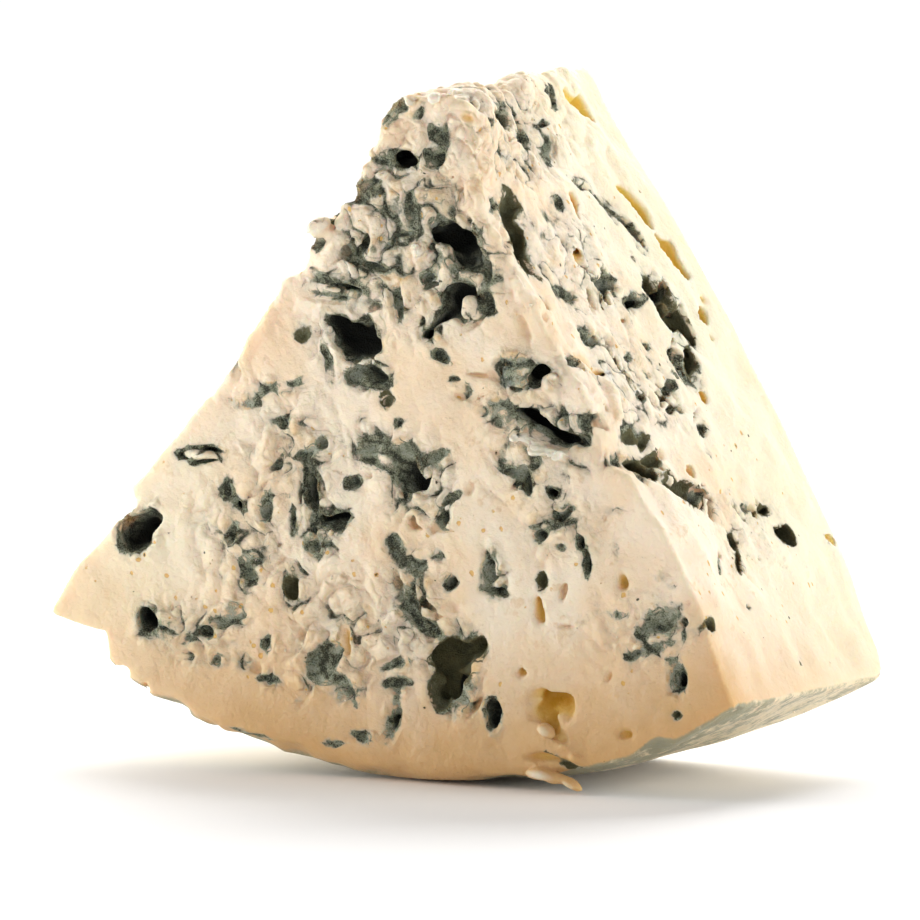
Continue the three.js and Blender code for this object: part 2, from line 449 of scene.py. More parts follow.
# A row holds the place a and b, the half sizes and the depth, then any tilt in degrees and lining.
FRONT_HOLLOWS = made(Hollow, [
    (4.3, 78.2, 3.6, 2.4, 6, -12), (6.6, 75.2, 2.9, 2.8, 2.2, 20), (-11.5, 63.5, 4.3, 2.1, 6, -34),
    (-9.3, 57.6, 2.9, 1.4, 2.6), (18.3, 60, 1.7, 1.6, 5.5), (15, 59.4, 3, 2.2, 0.6, 5),
    (19.6, 52, 5.2, 1.5, 5.5, -17), (-2.8, 43.9, 1.9, 1.9, 5), (-8.6, 47.4, 3, 2, 1.4, -35),
    (-3, 46.8, 2.4, 2, 1.2, -20), (-14.6, 37.4, 2.2, 1.4, 5, 4), (-18.4, 42, 3.8, 0.8, 3, -70),
    (-47.3, 33.8, 3, 2.5, 5, 35), (-45.4, 21.2, 1.5, 1.9, 4, 0), (-43.3, 20.6, 2.2, 1.8, 1.0, -20),
    (-34.7, 20.9, 1.3, 1.1, 3.5), (4.4, 16.4, 3, 5.6, 4.6, -6, OLIVE),
    (7.6, 19.6, 2.2, 1.6, 3, 20, OLIVE), (5.6, 13.4, 1.5, 2.2, 7), (1.4, 21.9, 1.9, 0.6, 2.2, -35),
    (21.8, 13, 2, 2.5, 3.4, 0, BARE), (20.8, 10.2, 1.4, 2.2, 2.6, 20, BARE),
    (18.2, 13.6, 2.2, 1, 0.9, 20, BARE), (19, 11.4, 1.3, 1.5, 0.7, 0, BARE),
    (23.3, 11.8, 0.7, 1.6, 1.8, -20, BARE), (22.2, 8.4, 1.1, 1, 1.4, -30, BARE),
    (19, 4.6, 3, 0.4, 1.6, 0, BARE), (23.6, 3.6, 2.2, 0.4, 1.6, -24, OLIVE),
    (15, 14.6, 1.4, 0.8, 0.7, 10, BARE), (11.3, 9.6, 0.9, 2.2, 3, -8), (37.8, 24.9, 3.4, 2.4, 1.7, 15),
    (37, 21.6, 3, 0.7, 1.6, 12), (34, 20.6, 1.4, 0.6, 1.6, 30), (40.1, 17.4, 1, 2.4, 3, 6),
    (-21.2, 26.4, 1.3, 3, 2.4, 14, OLIVE), (-16.4, 16.4, 2, 2.6, 1.3, -15),
    (-12.6, 13, 2.2, 1.5, 1.2, -30), (-5.5, 8.1, 0.8, 2.4, 3, -14), (6.2, 68.6, 1.8, 1.6, 3.5, 20),
    (9.4, 68.3, 0.9, 1.6, 1.2, 25), (-4.6, 88.6, 2.9, 1.2, 4, 6), (-15, 70.9, 3, 0.5, 2, -10),
    (-16.5, 69.3, 3.2, 0.45, 2, -5), (-18, 72.2, 1.8, 0.4, 1.6, -20), (-38.5, 45.3, 1.4, 0.5, 2, 10),
    (-35.6, 46.2, 1.8, 0.4, 1.8, 4), (-35.8, 44.6, 1.6, 0.35, 1.6, 14), (-17.2, 47.7, 0.75, 0.7, 2.4),
    (-12, 42.5, 1, 0.6, 1.8, 20), (-23.7, 50.6, 0.9, 0.9, 1.8), (-31, 39.2, 1.6, 0.7, 2.2, -40),
    (-25.7, 38.9, 0.9, 1.8, 2.2, -20), (-17.6, 33.3, 0.9, 0.6, 1.6), (-32.5, 40.6, 0.5, 1.1, 1.4, 10),
    (-31, 22.8, 1.9, 2, 0.8), (-33.4, 16.4, 0.9, 0.8, 1.4), (-28.4, 30, 1.1, 2, 0.8, 30),
    (-4.6, 33.4, 1.7, 1.2, 1.3, -30), (-2.2, 30.9, 2.2, 0.8, 1.2, 5), (2.2, 32.5, 0.7, 0.8, 1.6),
    (4, 28.9, 1.1, 0.6, 2, 40), (-2.3, 25.2, 0.9, 2.2, 1, 25), (10.9, 31.2, 1.1, 2.4, 1.1, -10),
    (11.3, 28, 1.7, 0.7, 1.8, -10), (18.3, 25.8, 0.9, 1.8, 2.2, 22, BARE),
    (18.6, 30.1, 0.6, 1, 1.8, 10, OLIVE), (31.8, 30.2, 0.9, 1.3, 2.2, 14, BARE),
    (39.8, 30.2, 0.5, 0.4, 1.4, 0, OLIVE), (40.3, 11.9, 0.6, 0.5, 1.2, 0, OLIVE),
    (32, 9.2, 1, 0.45, 1.2, 8, BARE), (15.5, 17, 0.9, 0.7, 1.2, 0, BARE),
    (23.2, 17, 1, 0.4, 1.2, 35, BARE), (29.8, 16.8, 0.8, 0.4, 1, 60, BARE),
    (18.5, 36.7, 1.1, 0.8, 1.8, -10), (21.4, 35.3, 0.8, 0.5, 1.4), (25, 35.9, 0.6, 0.6, 1.8),
    (22.6, 39.6, 1.2, 0.5, 1.4, 40), (16.3, 44, 0.7, 1.4, 1.8, 10), (14.2, 44.9, 1.4, 0.5, 1.4, -15),
    (20.8, 42.4, 1, 0.5, 1.8, -25), (0.6, 63.8, 0.9, 0.7, 2.6), (2.1, 65.7, 1.7, 0.35, 1.8, 50),
    (4.3, 67.2, 1.3, 0.45, 2, 35), (3, 60.7, 0.9, 0.5, 1.2, -20), (4.8, 57.7, 0.8, 0.5, 1.6),
    (6.7, 56.2, 0.5, 0.9, 1.2, 30), (-6, 54.2, 0.8, 0.8, 1.6, 0, OLIVE), (-4.3, 51.3, 0.5, 0.5, 1.2),
    (-9, 84.6, 2.4, 0.6, 1.6, 28), (-10.6, 82.9, 1.4, 0.7, 1.6, 10), (-2.6, 83, 0.7, 1.3, 1.6),
    (-2.3, 81, 1.1, 1.1, 1), (2.2, 89.4, 1.6, 1.5, 1.2, -20), (1.2, 93, 0.5, 1.7, 1.4, 8),
    (-7.7, 73.2, 1.6, 0.5, 1.6, -20), (-3, 78, 2.2, 0.5, 1.4, 10), (0.2, 71.6, 1.3, 0.9, 1.2),
    (9.8, 72.6, 0.6, 2.2, 1.4, -10), (-4.5, 67.4, 0.5, 2, 1.2, 12), (-15.8, 80.3, 1.6, 0.7, 2.4, 15),
    (-18.6, 76.6, 1.6, 0.7, 2.4, 10), (-20, 63.4, 1.3, 1.1, 1.6, 30, OLIVE),
    (-15.1, 58.4, 0.6, 2.2, 1, 20), (-25, 55.7, 3.6, 0.5, 1.1, 14), (-29.3, 53.2, 1.6, 0.5, 1.1, 10),
    (12.4, 53.4, 1.9, 1.3, 1.0, 10), (-19.8, 46, 1.4, 0.7, 1.6, 25), (-21.2, 37, 0.4, 1.4, 1),
    (-31, 34, 0.6, 1.6, 0.9, -20), (-4.3, 14.2, 1.7, 0.5, 1.2, 8), (-4.6, 16.9, 1.9, 0.4, 1, 16),
    (-25.4, 18.7, 0.6, 1, 1.2), (-25, 13.6, 1.6, 0.6, 1), (-10.2, 6.5, 1.3, 0.5, 1.4, -25),
    (-15.2, 5.1, 1.2, 0.4, 1.2, 8), (-13, 20.4, 0.5, 1.8, 1.2, 20, BARE),
    (-15, 22.8, 1.6, 0.5, 1, 20, BARE), (-9, 24, 0.5, 1.3, 1, 25, BARE),
    (7.2, 94.6, 2.6, 0.9, 1.4, -30, BARE), (-6.2, 94.8, 1.4, 0.9, 0.6, 50),
    (-4, 96.4, 1.2, 0.6, 0.6, -20), (-0.4, 95.2, 0.9, 0.6, 0.8, 30), (3, 1.2, 1.2, 0.3, 0.6, 0, BARE),
    (-38.6, 18.8, 1.2, 0.6, 1.2, 30), (-27, 4.9, 3, 0.5, 1.3, -15),
    (-50.2, 13.4, 1.3, 0.8, 5, -50, PLAIN), (-40.6, 8.5, 1.3, 0.7, 5, -34, PLAIN),
    (-35.2, 6, 1.5, 0.9, 5, -36, PLAIN), (-29.6, 3.9, 1.3, 0.6, 4, -24, PLAIN),
    (-22.4, 2.1, 1.4, 0.5, 4, -16, PLAIN), (-46, 11, 0.9, 0.5, 4, -40, PLAIN), (3.2, 38.2, 0.8, 1, 1.6),
    (3.6, 40.6, 1.4, 0.5, 1.2, 30), (1.8, 46.6, 1.6, 0.5, 1, 25), (25.4, 53.4, 0.8, 1, 0.9),
    (26, 33.6, 0.4, 1.4, 1.1, 8), (30.8, 25.7, 1.2, 0.4, 1.4, 10), (30.7, 41, 1.2, 0.3, 0.9, 10, BARE),
    (31.6, 35.4, 0.4, 1.2, 0.9, 0, BARE),
])
RIGHT_HOLLOWS = made(Hollow, [
    (5.4, -25.6, 1.35, 6.8, 5, -14, OLIVE), (7.6, -20.6, 1.1, 2.2, 3, -30, OLIVE),
    (33.2, -36.6, 1.6, 4.6, 5, 8, OLIVE), (35.2, -43, 1.9, 3.8, 5, 12, OLIVE),
    (32.6, -50, 1.3, 3.4, 4, -22, OLIVE), (29.4, -48.6, 1.5, 1.9, 1.4, 25), (16.3, -6.8, 1.9, 1.9, 4),
    (12, -6.6, 4.6, 2.4, 1.6, 6, BARE), (39.8, -6.8, 3.2, 1.7, 3, -50, BARE),
    (20.6, -8.2, 0.6, 2.4, 2.2, -8), (19.6, -11, 1.4, 1, 2, 10), (33, -4.4, 0.9, 2, 2.4, -30),
    (28.4, -18.7, 2.6, 0.7, 2.6, -28), (32.6, -23, 3.6, 0.5, 2, -50), (36, -27.6, 2.6, 0.6, 2, -66),
    (40.6, -24, 5.6, 1.3, 2.2, -62, BARE), (42.9, -31.4, 4.6, 1.3, 2.1, -84, BARE),
    (42.5, -39, 5, 1.4, 2.2, 84, BARE), (6.6, -63.2, 4.4, 2.6, 6, -34, OLIVE),
    (13, -67, 4.4, 2.9, 6, -36, OLIVE), (9.4, -61.4, 2.2, 0.8, 2.4, 4, OLIVE),
    (18.6, -67.9, 1.1, 0.4, 1.6), (22, -76.2, 1.7, 1.2, 3.4, 25, OLIVE),
    (19.6, -79.6, 2, 1, 3.8, 18, OLIVE), (33.6, -72.1, 1.7, 0.7, 2.2, 10, OLIVE),
    (35.1, -76.2, 1.7, 1.4, 3, 10, OLIVE), (28.5, -71.1, 0.9, 0.5, 2), (22.3, -34.2, 2.6, 1.4, 1.6, 24),
    (25.6, -38, 2.1, 1, 2.8, 10), (10, -34.6, 2, 0.9, 2.2, 8), (10.4, -42, 1.6, 1.1, 1.6, -20),
    (17.4, -46, 1.1, 0.5, 1.8), (24, -45, 0.7, 0.8, 1.8), (20.8, -49.1, 0.6, 0.4, 1.4),
    (24.6, -50.9, 0.7, 0.7, 1.8), (23.4, -54.8, 0.7, 0.6, 1.6), (15, -52.1, 1, 0.5, 1.4),
    (8.2, -57.2, 2.4, 0.9, 2, -16, OLIVE), (10.6, -58.4, 1.2, 0.6, 1.6, 20, OLIVE),
    (3, -20, 1.4, 0.5, 1.2, 15), (2.6, -45, 0.8, 0.7, 1.2), (13.2, -79, 0.3, 1, 1, -30),
    (16.4, -86, 0.8, 0.5, 1.3), (1.6, -87.4, 1.4, 0.8, 1.5, 20, OLIVE),
    (45.4, -78.4, 1.6, 1.3, 1.2, 10, BARE), (39.6, -33.4, 0.7, 1, 0.8, -20), (15, -22.8, 0.5, 1, 1.3),
    (20, -21.4, 0.6, 1, 1.3), (25.2, -12.4, 0.7, 2.6, 1.3, -35), (27.6, -8.6, 1.8, 0.4, 1.2, 4),
    (18.6, -29.4, 2.6, 1.2, 0.5, 60, BARE), (24, -22.4, 1, 2, 0.8, 0, BARE),
    (3, -3.4, 2.4, 0.9, 1.2, 0, BARE), (6.4, -46, 2.6, 0.6, 0.9, -40, BARE),
    (32.2, -54, 1.6, 0.9, 0.9, 60, BARE), (18.4, -63.6, 1.6, 1, 0.6, 20, BARE),
    (24.5, -94.5, 1, 0.5, 0.8, 30, OLIVE), (27.4, -58.4, 1, 1.4, 0.8, -30),
    (9.8, -13.4, 1.1, 0.7, 0.7, 0, BARE), (41, -70.4, 0.7, 0.5, 0.8, 0, BARE),
])
LEFT_HOLLOWS = made(Hollow, [
    (11, -33, 1.6, 6.2, 5, -12, OLIVE), (31, -46, 2.1, 7.4, 5, 16), (20, -63, 1.8, 4.6, 4.5, -24),
    (37, -71, 1.6, 4.8, 4, 8, OLIVE), (9, -78, 2, 2.4, 4), (26, -22, 1.5, 3.6, 4, -30),
    (18, -44, 2.6, 1.1, 3, 20), (5, -52, 2.4, 0.9, 2.6, -10), (27, -56, 1.2, 1.2, 3),
    (40, -34, 0.9, 3, 2.2, 20), (14, -19, 1.6, 1.2, 2.6), (31, -80, 1.6, 1.2, 3, 0, BARE),
])

# A row holds the place a and b, the half sizes and the strength.
FRONT_BLOOMS = made(Bloom, [
    (-6, 95.4, 2.2, 2.2, 0.95), (2, 92, 2, 3, 0.75), (-5, 88.3, 4.4, 1.9, 0.9), (2, 89.5, 2.2, 2, 0.8),
    (-9, 84.2, 3.6, 2.6, 0.85), (-3, 82.6, 3.2, 2.8, 0.8), (-6, 80, 4, 2, 0.45),
    (-15.8, 80.2, 2.4, 1.4, 0.9), (-18.6, 76.6, 2.2, 1.3, 0.9), (-3, 77.6, 5, 2, 0.62),
    (-8, 73.6, 4.4, 2.6, 0.66), (0, 72.4, 4.2, 2.6, 0.62), (-15.5, 70.6, 4.8, 2.2, 0.78),
    (-10, 68.6, 4.4, 1.8, 0.6), (-4, 67.6, 2, 3, 0.68), (6.6, 68.5, 4.4, 2.8, 0.85),
    (10.2, 72, 2.6, 4, 0.75), (6, 75.6, 5.6, 4.8, 1.0), (12, 76.5, 2.6, 2.6, 0.5),
    (0.8, 64.6, 2.4, 2.4, 0.85), (-12, 63.8, 5.2, 3, 0.9), (-9, 57.8, 4, 2.4, 0.92),
    (-17, 62.5, 2.4, 4, 0.5), (-15.2, 58.4, 1.4, 2.8, 0.62), (-20, 63.5, 1.6, 1.6, 0.62),
    (3, 60.6, 1.4, 1.2, 0.7), (5, 57.6, 1.3, 1, 0.85), (7, 55.8, 1.3, 2, 0.66),
    (-24.5, 55.3, 5.6, 1.5, 0.68), (-29, 53.4, 3.4, 1.3, 0.66), (-23.6, 51, 4, 1.5, 0.68),
    (-19, 51.6, 2.6, 1.8, 0.56), (-10.6, 51.4, 1.4, 1.4, 0.55), (-6, 54.2, 1.3, 1.2, 0.75),
    (-4.3, 51.3, 1, 0.9, 0.75), (-8.6, 47.6, 3.9, 2.9, 0.95), (-3, 46.2, 3.2, 3.2, 0.95),
    (-1.6, 42, 3, 2.6, 0.8), (1.6, 46, 3, 2.6, 0.58), (2.8, 41, 2.8, 2.4, 0.66), (3, 38, 1.7, 1.9, 0.8),
    (-37, 45.3, 3.2, 1.6, 0.85), (-32.4, 40.6, 1.7, 1.9, 0.8), (-30.6, 38.8, 2, 1.3, 0.9),
    (-26, 38.8, 1.8, 2.6, 0.85), (-31, 34, 2.2, 2.4, 0.56), (-26, 35.4, 2, 1.4, 0.52),
    (-18.4, 42.6, 2.4, 4.6, 0.8), (-17.2, 47.7, 1.6, 1.3, 0.8), (-19.6, 46, 2, 1.5, 0.75),
    (-12, 42.5, 1.6, 1.2, 0.8), (-14.8, 37.4, 3, 2, 0.95), (-17.2, 33.8, 3.6, 2.6, 0.85),
    (-21, 37, 1.4, 2, 0.6), (-47.2, 34, 3.8, 3.4, 0.95), (-44.4, 37.6, 1, 1.5, 0.7),
    (-28.3, 30, 2.4, 2.8, 0.78), (-29.6, 27.4, 1.4, 1.8, 0.6), (-21, 27, 2.3, 3.8, 0.9),
    (-4.6, 33.4, 2, 1.8, 0.9), (-2.4, 31, 2.6, 1.4, 0.85), (2.1, 32.5, 1.5, 1.4, 0.8),
    (-2.4, 25.6, 1.8, 3.4, 0.8), (4, 29, 1.7, 1.4, 0.9), (0, 28.6, 3, 1.8, 0.55),
    (11, 31.4, 1.8, 3.4, 0.85), (11.4, 28, 2, 1.3, 0.9), (18.5, 30, 0.9, 1.3, 0.7),
    (18.3, 25.8, 1.3, 2.1, 0.7), (31.7, 30.2, 1.1, 1.5, 0.8), (31, 25.6, 1.5, 0.8, 0.78),
    (39.7, 30.2, 0.9, 0.7, 0.8), (37.6, 31.3, 1.5, 0.7, 0.55), (15, 59.4, 3.8, 3, 1.0),
    (20.4, 59, 2.2, 2.4, 0.75), (12.2, 53.4, 3, 2.4, 0.9), (19.5, 52, 6.4, 3, 0.8),
    (19, 48.2, 4, 2.2, 0.75), (15.4, 44.6, 2.4, 2.4, 0.78), (12.8, 46, 2.4, 1.9, 0.56),
    (25.4, 53.5, 1.5, 1.7, 0.62), (23, 46.6, 5, 1.4, 0.56), (20.8, 42.4, 1.9, 1.2, 0.75),
    (21.6, 38.4, 3.6, 2.2, 0.78), (18.4, 36.8, 1.9, 1.4, 0.9), (21.4, 35.3, 1.3, 1, 0.8),
    (25, 35.9, 0.9, 0.8, 0.9), (26, 33, 0.8, 2, 0.62), (30.5, 40.6, 3, 1.1, 0.45),
    (30.8, 35.4, 1, 2.4, 0.5), (38, 24.6, 3.8, 3, 1.0), (34.5, 20.9, 2.3, 1.5, 0.9),
    (37, 21.6, 3.2, 1.5, 0.95), (40.1, 17.3, 1.5, 2.9, 0.95), (40.3, 11.9, 0.9, 0.7, 0.66),
    (-45, 21, 2.9, 2.8, 0.95), (-42, 20, 2.4, 2.4, 0.66), (-34.8, 21, 1.8, 1.6, 0.95),
    (-31, 22.8, 2.4, 2.3, 0.9), (-37.6, 19, 2.4, 1.9, 0.6), (-38, 16, 1.5, 1, 0.62),
    (-33.4, 16.4, 1.5, 1.4, 0.8), (-25.4, 18.6, 1.9, 1.9, 0.64), (-29.6, 16, 2, 1.4, 0.55),
    (-25, 13.6, 2.4, 1.4, 0.68), (-16.4, 16.8, 2.7, 3.1, 1.0), (-12.4, 13, 2.9, 2.3, 0.9),
    (-19, 14, 1.9, 2.3, 0.62), (-20.6, 11, 0.9, 0.9, 0.62), (-4.3, 14.2, 2.2, 1.4, 0.8),
    (-4.6, 17, 2.4, 1.2, 0.7), (0.8, 22.3, 2.2, 1.4, 0.8), (5, 16.5, 4, 6.4, 1.0),
    (8, 19.8, 2.4, 2.3, 0.9), (-5.5, 8.1, 1.4, 2.5, 0.95), (-10, 6.4, 2.3, 1, 0.85),
    (-15.2, 5.1, 1.4, 0.8, 0.8), (11.2, 9.7, 1.3, 2.5, 0.95), (10.3, 12.4, 1.5, 0.9, 0.55),
])
RIGHT_BLOOMS = made(Bloom, [
    (3, -5, 3, 2, 0.45), (16.6, -6.4, 2.6, 2.6, 0.95), (20.6, -8, 1.1, 3, 0.85),
    (19.5, -11, 2, 1.6, 0.85), (25.4, -12, 3.6, 3.8, 0.66), (33, -4.5, 1.4, 2.1, 0.8),
    (8, -3, 1, 1, 0.8), (3, -19.6, 3, 1.4, 0.6), (5.6, -26, 2.6, 6.6, 1.0), (10, -34.6, 3, 1.8, 0.9),
    (14.6, -36.5, 2, 1, 0.66), (15.4, -16.6, 3, 3.6, 0.46), (15, -22.6, 1.2, 1.5, 0.7),
    (28.4, -18.6, 3, 1.4, 0.9), (33, -23.4, 2.6, 2.8, 0.66), (36.4, -28.4, 1.5, 2.8, 0.8),
    (22.4, -34.4, 3.4, 2.2, 0.92), (25.6, -38, 2.5, 1.7, 0.95), (18.8, -36.6, 1.4, 3, 0.55),
    (24, -27, 1.9, 1.9, 0.55), (20, -21, 1.9, 2.6, 0.56), (34.4, -40, 3.4, 6.6, 1.0),
    (31.2, -49.6, 3, 3.2, 0.9), (10.2, -42, 2.8, 2.4, 0.78), (3, -45, 1.9, 1.4, 0.7),
    (9.6, -46, 1.5, 1, 0.66), (17.5, -46, 1.8, 1, 0.85), (24, -45, 1, 1, 0.9),
    (21, -49, 0.9, 0.8, 0.85), (24.5, -51, 1, 1, 0.85), (22, -52.4, 1.5, 1.4, 0.66),
    (23.5, -55, 1, 1, 0.85), (27.4, -58, 1.9, 2.3, 0.56), (15, -52, 1.3, 0.8, 0.85),
    (6, -50.6, 3, 1.9, 0.45), (8.4, -57, 3.4, 1.8, 0.85), (11, -58.2, 1.9, 1.3, 0.85),
    (3, -60.2, 4.4, 1.3, 0.75), (6.8, -63.4, 4, 2.6, 1.0), (13, -68, 4.2, 2.7, 1.0),
    (19, -67.8, 1.6, 0.7, 0.9), (24.5, -70, 1, 0.7, 0.66), (25.6, -62.4, 1.3, 1.3, 0.6),
    (28.6, -71.1, 1.1, 0.9, 0.9), (33.5, -72.1, 1.9, 1, 0.9), (35.1, -76.1, 1.8, 1.8, 0.85),
    (22, -76.2, 1.8, 1.6, 0.9), (19.6, -79.6, 2.3, 1.3, 0.95), (13.1, -79, 0.7, 1, 0.7),
    (16.4, -86, 1, 0.7, 0.75), (1.8, -87.4, 2.1, 1.3, 0.75), (39.5, -33.5, 1.1, 1.4, 0.5),
    (5, -54, 4, 2, 0.42), (12, -29, 4, 7, 0.36), (20, -40, 8, 9, 0.3), (24.4, -94.5, 1.4, 0.8, 0.5),
])
# Broad regions where thin veins run between the grains.
FRONT_MARBLING = made(Bloom, [
    (-4, 77, 13, 13, 0.62), (-14, 68, 6, 6, 0.5), (18, 49, 8, 7, 0.58), (-21, 45, 9, 10, 0.52),
    (-30, 34, 9, 9, 0.46), (-38, 20, 8, 5, 0.52), (-13, 21, 10, 8, 0.48), (-2, 43, 7, 7, 0.56),
    (22, 38, 7, 5, 0.54), (-2, 26, 6, 9, 0.46), (33, 24, 8, 6, 0.36),
])
RIGHT_MARBLING = made(Bloom, [
    (14, -9, 16, 11, 0.56), (14, -30, 15, 12, 0.46), (15, -50, 15, 12, 0.48), (24, -72, 14, 8, 0.4),
])
LEFT_MARBLING = made(Bloom, [(22, -40, 20, 30, 0.5)])
# Each hollow of the left face has a ring of mould round it.
RING_WIDTH, RING_STRENGTH = 2.2, 0.9
LEFT_BLOOMS = made(Bloom, [
    (spot.a, spot.b, spot.wide + RING_WIDTH, spot.high + RING_WIDTH, RING_STRENGTH) for spot in LEFT_HOLLOWS
])

# A row holds the place a and b, the half sizes and the depth, then the tilt and the standing height.
FRONT_LUMPS = made(Lump, [
    (20.6, 2.2, 2.6, 0.55, 1.6, -10, -0.1), (23.4, 1.5, 1.9, 0.5, 1.8, -24, 0.2),
    (20.2, 8.8, 1, 0.7, 0.9, -30, 0), (22.4, 6.8, 0.8, 0.6, 0.8, 10, 0.1),
    (24, 5.2, 0.8, 0.5, 0.7, 0, 0.1), (19.4, 49.4, 3.4, 0.9, 2.2, -18, -0.9),
    (22.2, 48.2, 1.3, 0.9, 1.6, 10, -0.3), (16.4, 50, 1.2, 0.7, 1.5, 0, -0.6),
    (-36.6, 45.5, 2, 0.5, 1.4, 4, -0.3), (-15.4, 70.2, 2.3, 0.45, 1.4, -8, -0.2),
    (7.3, 68.2, 0.7, 1.1, 1.4, -20, -0.4), (37, 22.6, 1.8, 0.7, 1, 15, -0.5),
    (34.6, 21.8, 0.9, 0.5, 0.9, 40, 0), (-1.8, 97.2, 1.2, 0.8, 1.2, 0, 0),
    (2.2, 97.6, 1.2, 0.9, 1.6, -10, 0.2), (5, 98.4, 1, 0.8, 1.2, 20, 0.2),
    (6.6, 93.4, 0.9, 0.9, 1, 0, 0), (-7.2, 86.2, 1.8, 1.1, 1.8, 20, 0.4),
    (-17.4, 78.2, 1.3, 0.8, 1.2, 30, 0.1), (-12.6, 12.6, 1.1, 0.8, 0.8, 20, 0),
    (-2, 74.6, 1.8, 1.2, 1.2, 20, 0.1), (-1.2, 41.2, 1.2, 0.8, 1, 0, 0.1),
    (20.6, 58.4, 1.5, 1.6, 1, 0, 0.1), (-13.8, 60.6, 1.2, 0.7, 1, -40, 0.1),
])
RIGHT_LUMPS = made(Lump, [
    (30.6, -47.4, 1, 2, 1.4, -10, 0.1), (14.2, -11.6, 2.4, 1, 1.2, 6, 0.3),
    (4.6, -7.2, 2.6, 1.7, 2, 0, 0.5), (12, -64.8, 1.4, 0.8, 2, -30, -1.2),
    (5.4, -66.6, 3.4, 1, 1.4, -34, 0.6), (11.6, -71.4, 3.6, 1, 1.4, -36, 0.5),
    (24.4, -36.2, 1.2, 0.8, 1, 0, 0), (8, -40, 0.9, 1.2, 0.8, 10, -0.1),
    (38.6, -44, 0.9, 3.6, 1, 8, 0.2), (3, -14, 2.2, 3, 1.6, 0, 0.5),
    (7, -51.4, 2.4, 2.6, 1.2, -20, 0.5),
])

# Torn edges of the two radial faces: how far the face stands proud of the knife cut at a height.
LEFT_EDGE = [
    (14, 0.0), (21.5, 0.0), (29, 0.2), (32.5, -0.4), (35.5, -0.9), (37.6, -1.7), (39.2, -0.5),
    (40.2, 0.3), (42.5, -0.4), (46, -0.6), (51, -0.6), (56, -0.7), (61.5, -0.4), (66, 0.1),
    (68.8, -0.2), (70.5, 0.9), (72.5, -0.6), (74.5, 0.3), (76, 0.8), (79.5, 1.4), (81, 0.1),
    (82.5, -1.8), (85, -1.1), (88, 0.0), (89.5, 1.0), (91, 0.6), (94, 1.3), (97, 1.7),
]
RIGHT_EDGE = [
    (14, -0.3), (22, 0.7), (27, 1.4), (33, 1.8), (38, 1.7), (42, 1.2), (45.4, 0.9), (46.6, -0.9),
    (48, -0.9), (53, -0.1), (56, 0.4), (61, 0.3), (65, -0.2), (68, -0.4), (72, -1.0), (76, -1.5),
    (80, -1.3), (84, -0.2), (90, 2.2), (94, 3.8), (97, 4.4),
]


# ---------------------------------------------------------------------------------------------------------
# The sampled block that the wedge is carved in
# ---------------------------------------------------------------------------------------------------------


def softer_max(first: np.ndarray, second: np.ndarray, blend: float | np.ndarray) -> np.ndarray:
    """The larger of two distances, with the crease between them rounded.

    Args:
        first: A distance field.
        second: Another distance field.
        blend: How far from the crease the rounding starts.

    Returns:
        The blended distance.
    """
    near = np.maximum(blend - np.abs(first - second), 0) / blend
    return np.maximum(first, second) + near * near * blend / 4


def smooth_step(value: np.ndarray, low: float, high: float) -> np.ndarray:
    """A smooth step from 0 at low to 1 at high."""
    share = np.clip((value - low) / (high - low), 0, 1)
    return share * share * (3 - 2 * share)


@dataclass
class Block:
    """A box of evenly spaced samples round the wedge, in millimetres."""

    low: Vector3 = (-65.0, -28.5, -1.5)
    high: Vector3 = (54.5, 26.5, 104.0)
    step: float = 0.42
    axes: list[np.ndarray] = field(init=False)

    def __post_init__(self) -> None:
        """Lays out the samples along each axis."""
        self.axes = [np.arange(a, b, self.step, dtype=np.float32) for a, b in zip(self.low, self.high)]

    @property
    def grid(self) -> tuple[np.ndarray, np.ndarray, np.ndarray]:
        """The three coordinates, shaped to be combined."""
        x, y, z = self.axes
        return x[:, None, None], y[None, :, None], z[None, None, :]

    def lattice_noise(self, spacing: Vector3, rng: np.random.Generator) -> np.ndarray:
        """Smooth noise, of about unit strength, from random values on a coarser lattice.

        Args:
            spacing: The lattice's spacing along each axis.
            rng: The source of random numbers.

        Returns:
            The noise at every sample.
        """
        weights = []
        for axis, gap in zip(self.axes, spacing):
            place = (axis - axis[0]) / gap
            count = int(place[-1]) + 4
            away = np.abs(place[:, None] + 1 - np.arange(count)[None, :])
            inner = 2 / 3 - away**2 + away**3 / 2
            outer = np.maximum(2 - away, 0) ** 3 / 6
            weights.append(np.where(away < 1, inner, outer).astype(np.float32))
        field_now = rng.uniform(-1, 1, [w.shape[1] for w in weights]).astype(np.float32)
        for weight in weights:
            field_now = np.moveaxis(np.tensordot(weight, field_now, axes=(1, 0)), 0, -1)
        return field_now * 2.6

    def window(self, centre: np.ndarray, reach: float) -> tuple[tuple[slice, ...], list[np.ndarray]]:
        """The samples near a point.

        Args:
            centre: The point.
            reach: How far from it samples are wanted.

        Returns:
            The slices of the block, and the offsets from the point along each axis.
        """
        parts, offsets = [], []
        for number, axis in enumerate(self.axes):
            start, stop = np.searchsorted(axis, (centre[number] - reach, centre[number] + reach))
            parts.append(slice(int(start), int(stop)))
            shape = [1, 1, 1]
            shape[number] = -1
            offsets.append((axis[start:stop] - centre[number]).reshape(shape))
        return tuple(parts), offsets

    def sample(self, values: np.ndarray, points: np.ndarray) -> np.ndarray:
        """Reads a field of the block at any points, by trilinear interpolation.

        Args:
            values: The field.
            points: The points, one to a row.

        Returns:
            The field's values there.
        """
        place = (points - np.array([axis[0] for axis in self.axes])) / self.step
        base = np.clip(place.astype(int), 0, np.array(values.shape) - 2)
        share = np.clip(place - base, 0, 1)
        total = np.zeros(len(points))
        for corner in product((0, 1), repeat=3):
            weight = np.prod(np.where(corner, share, 1 - share), axis=1)
            total += weight * values[tuple((base + corner).T)]
        return total


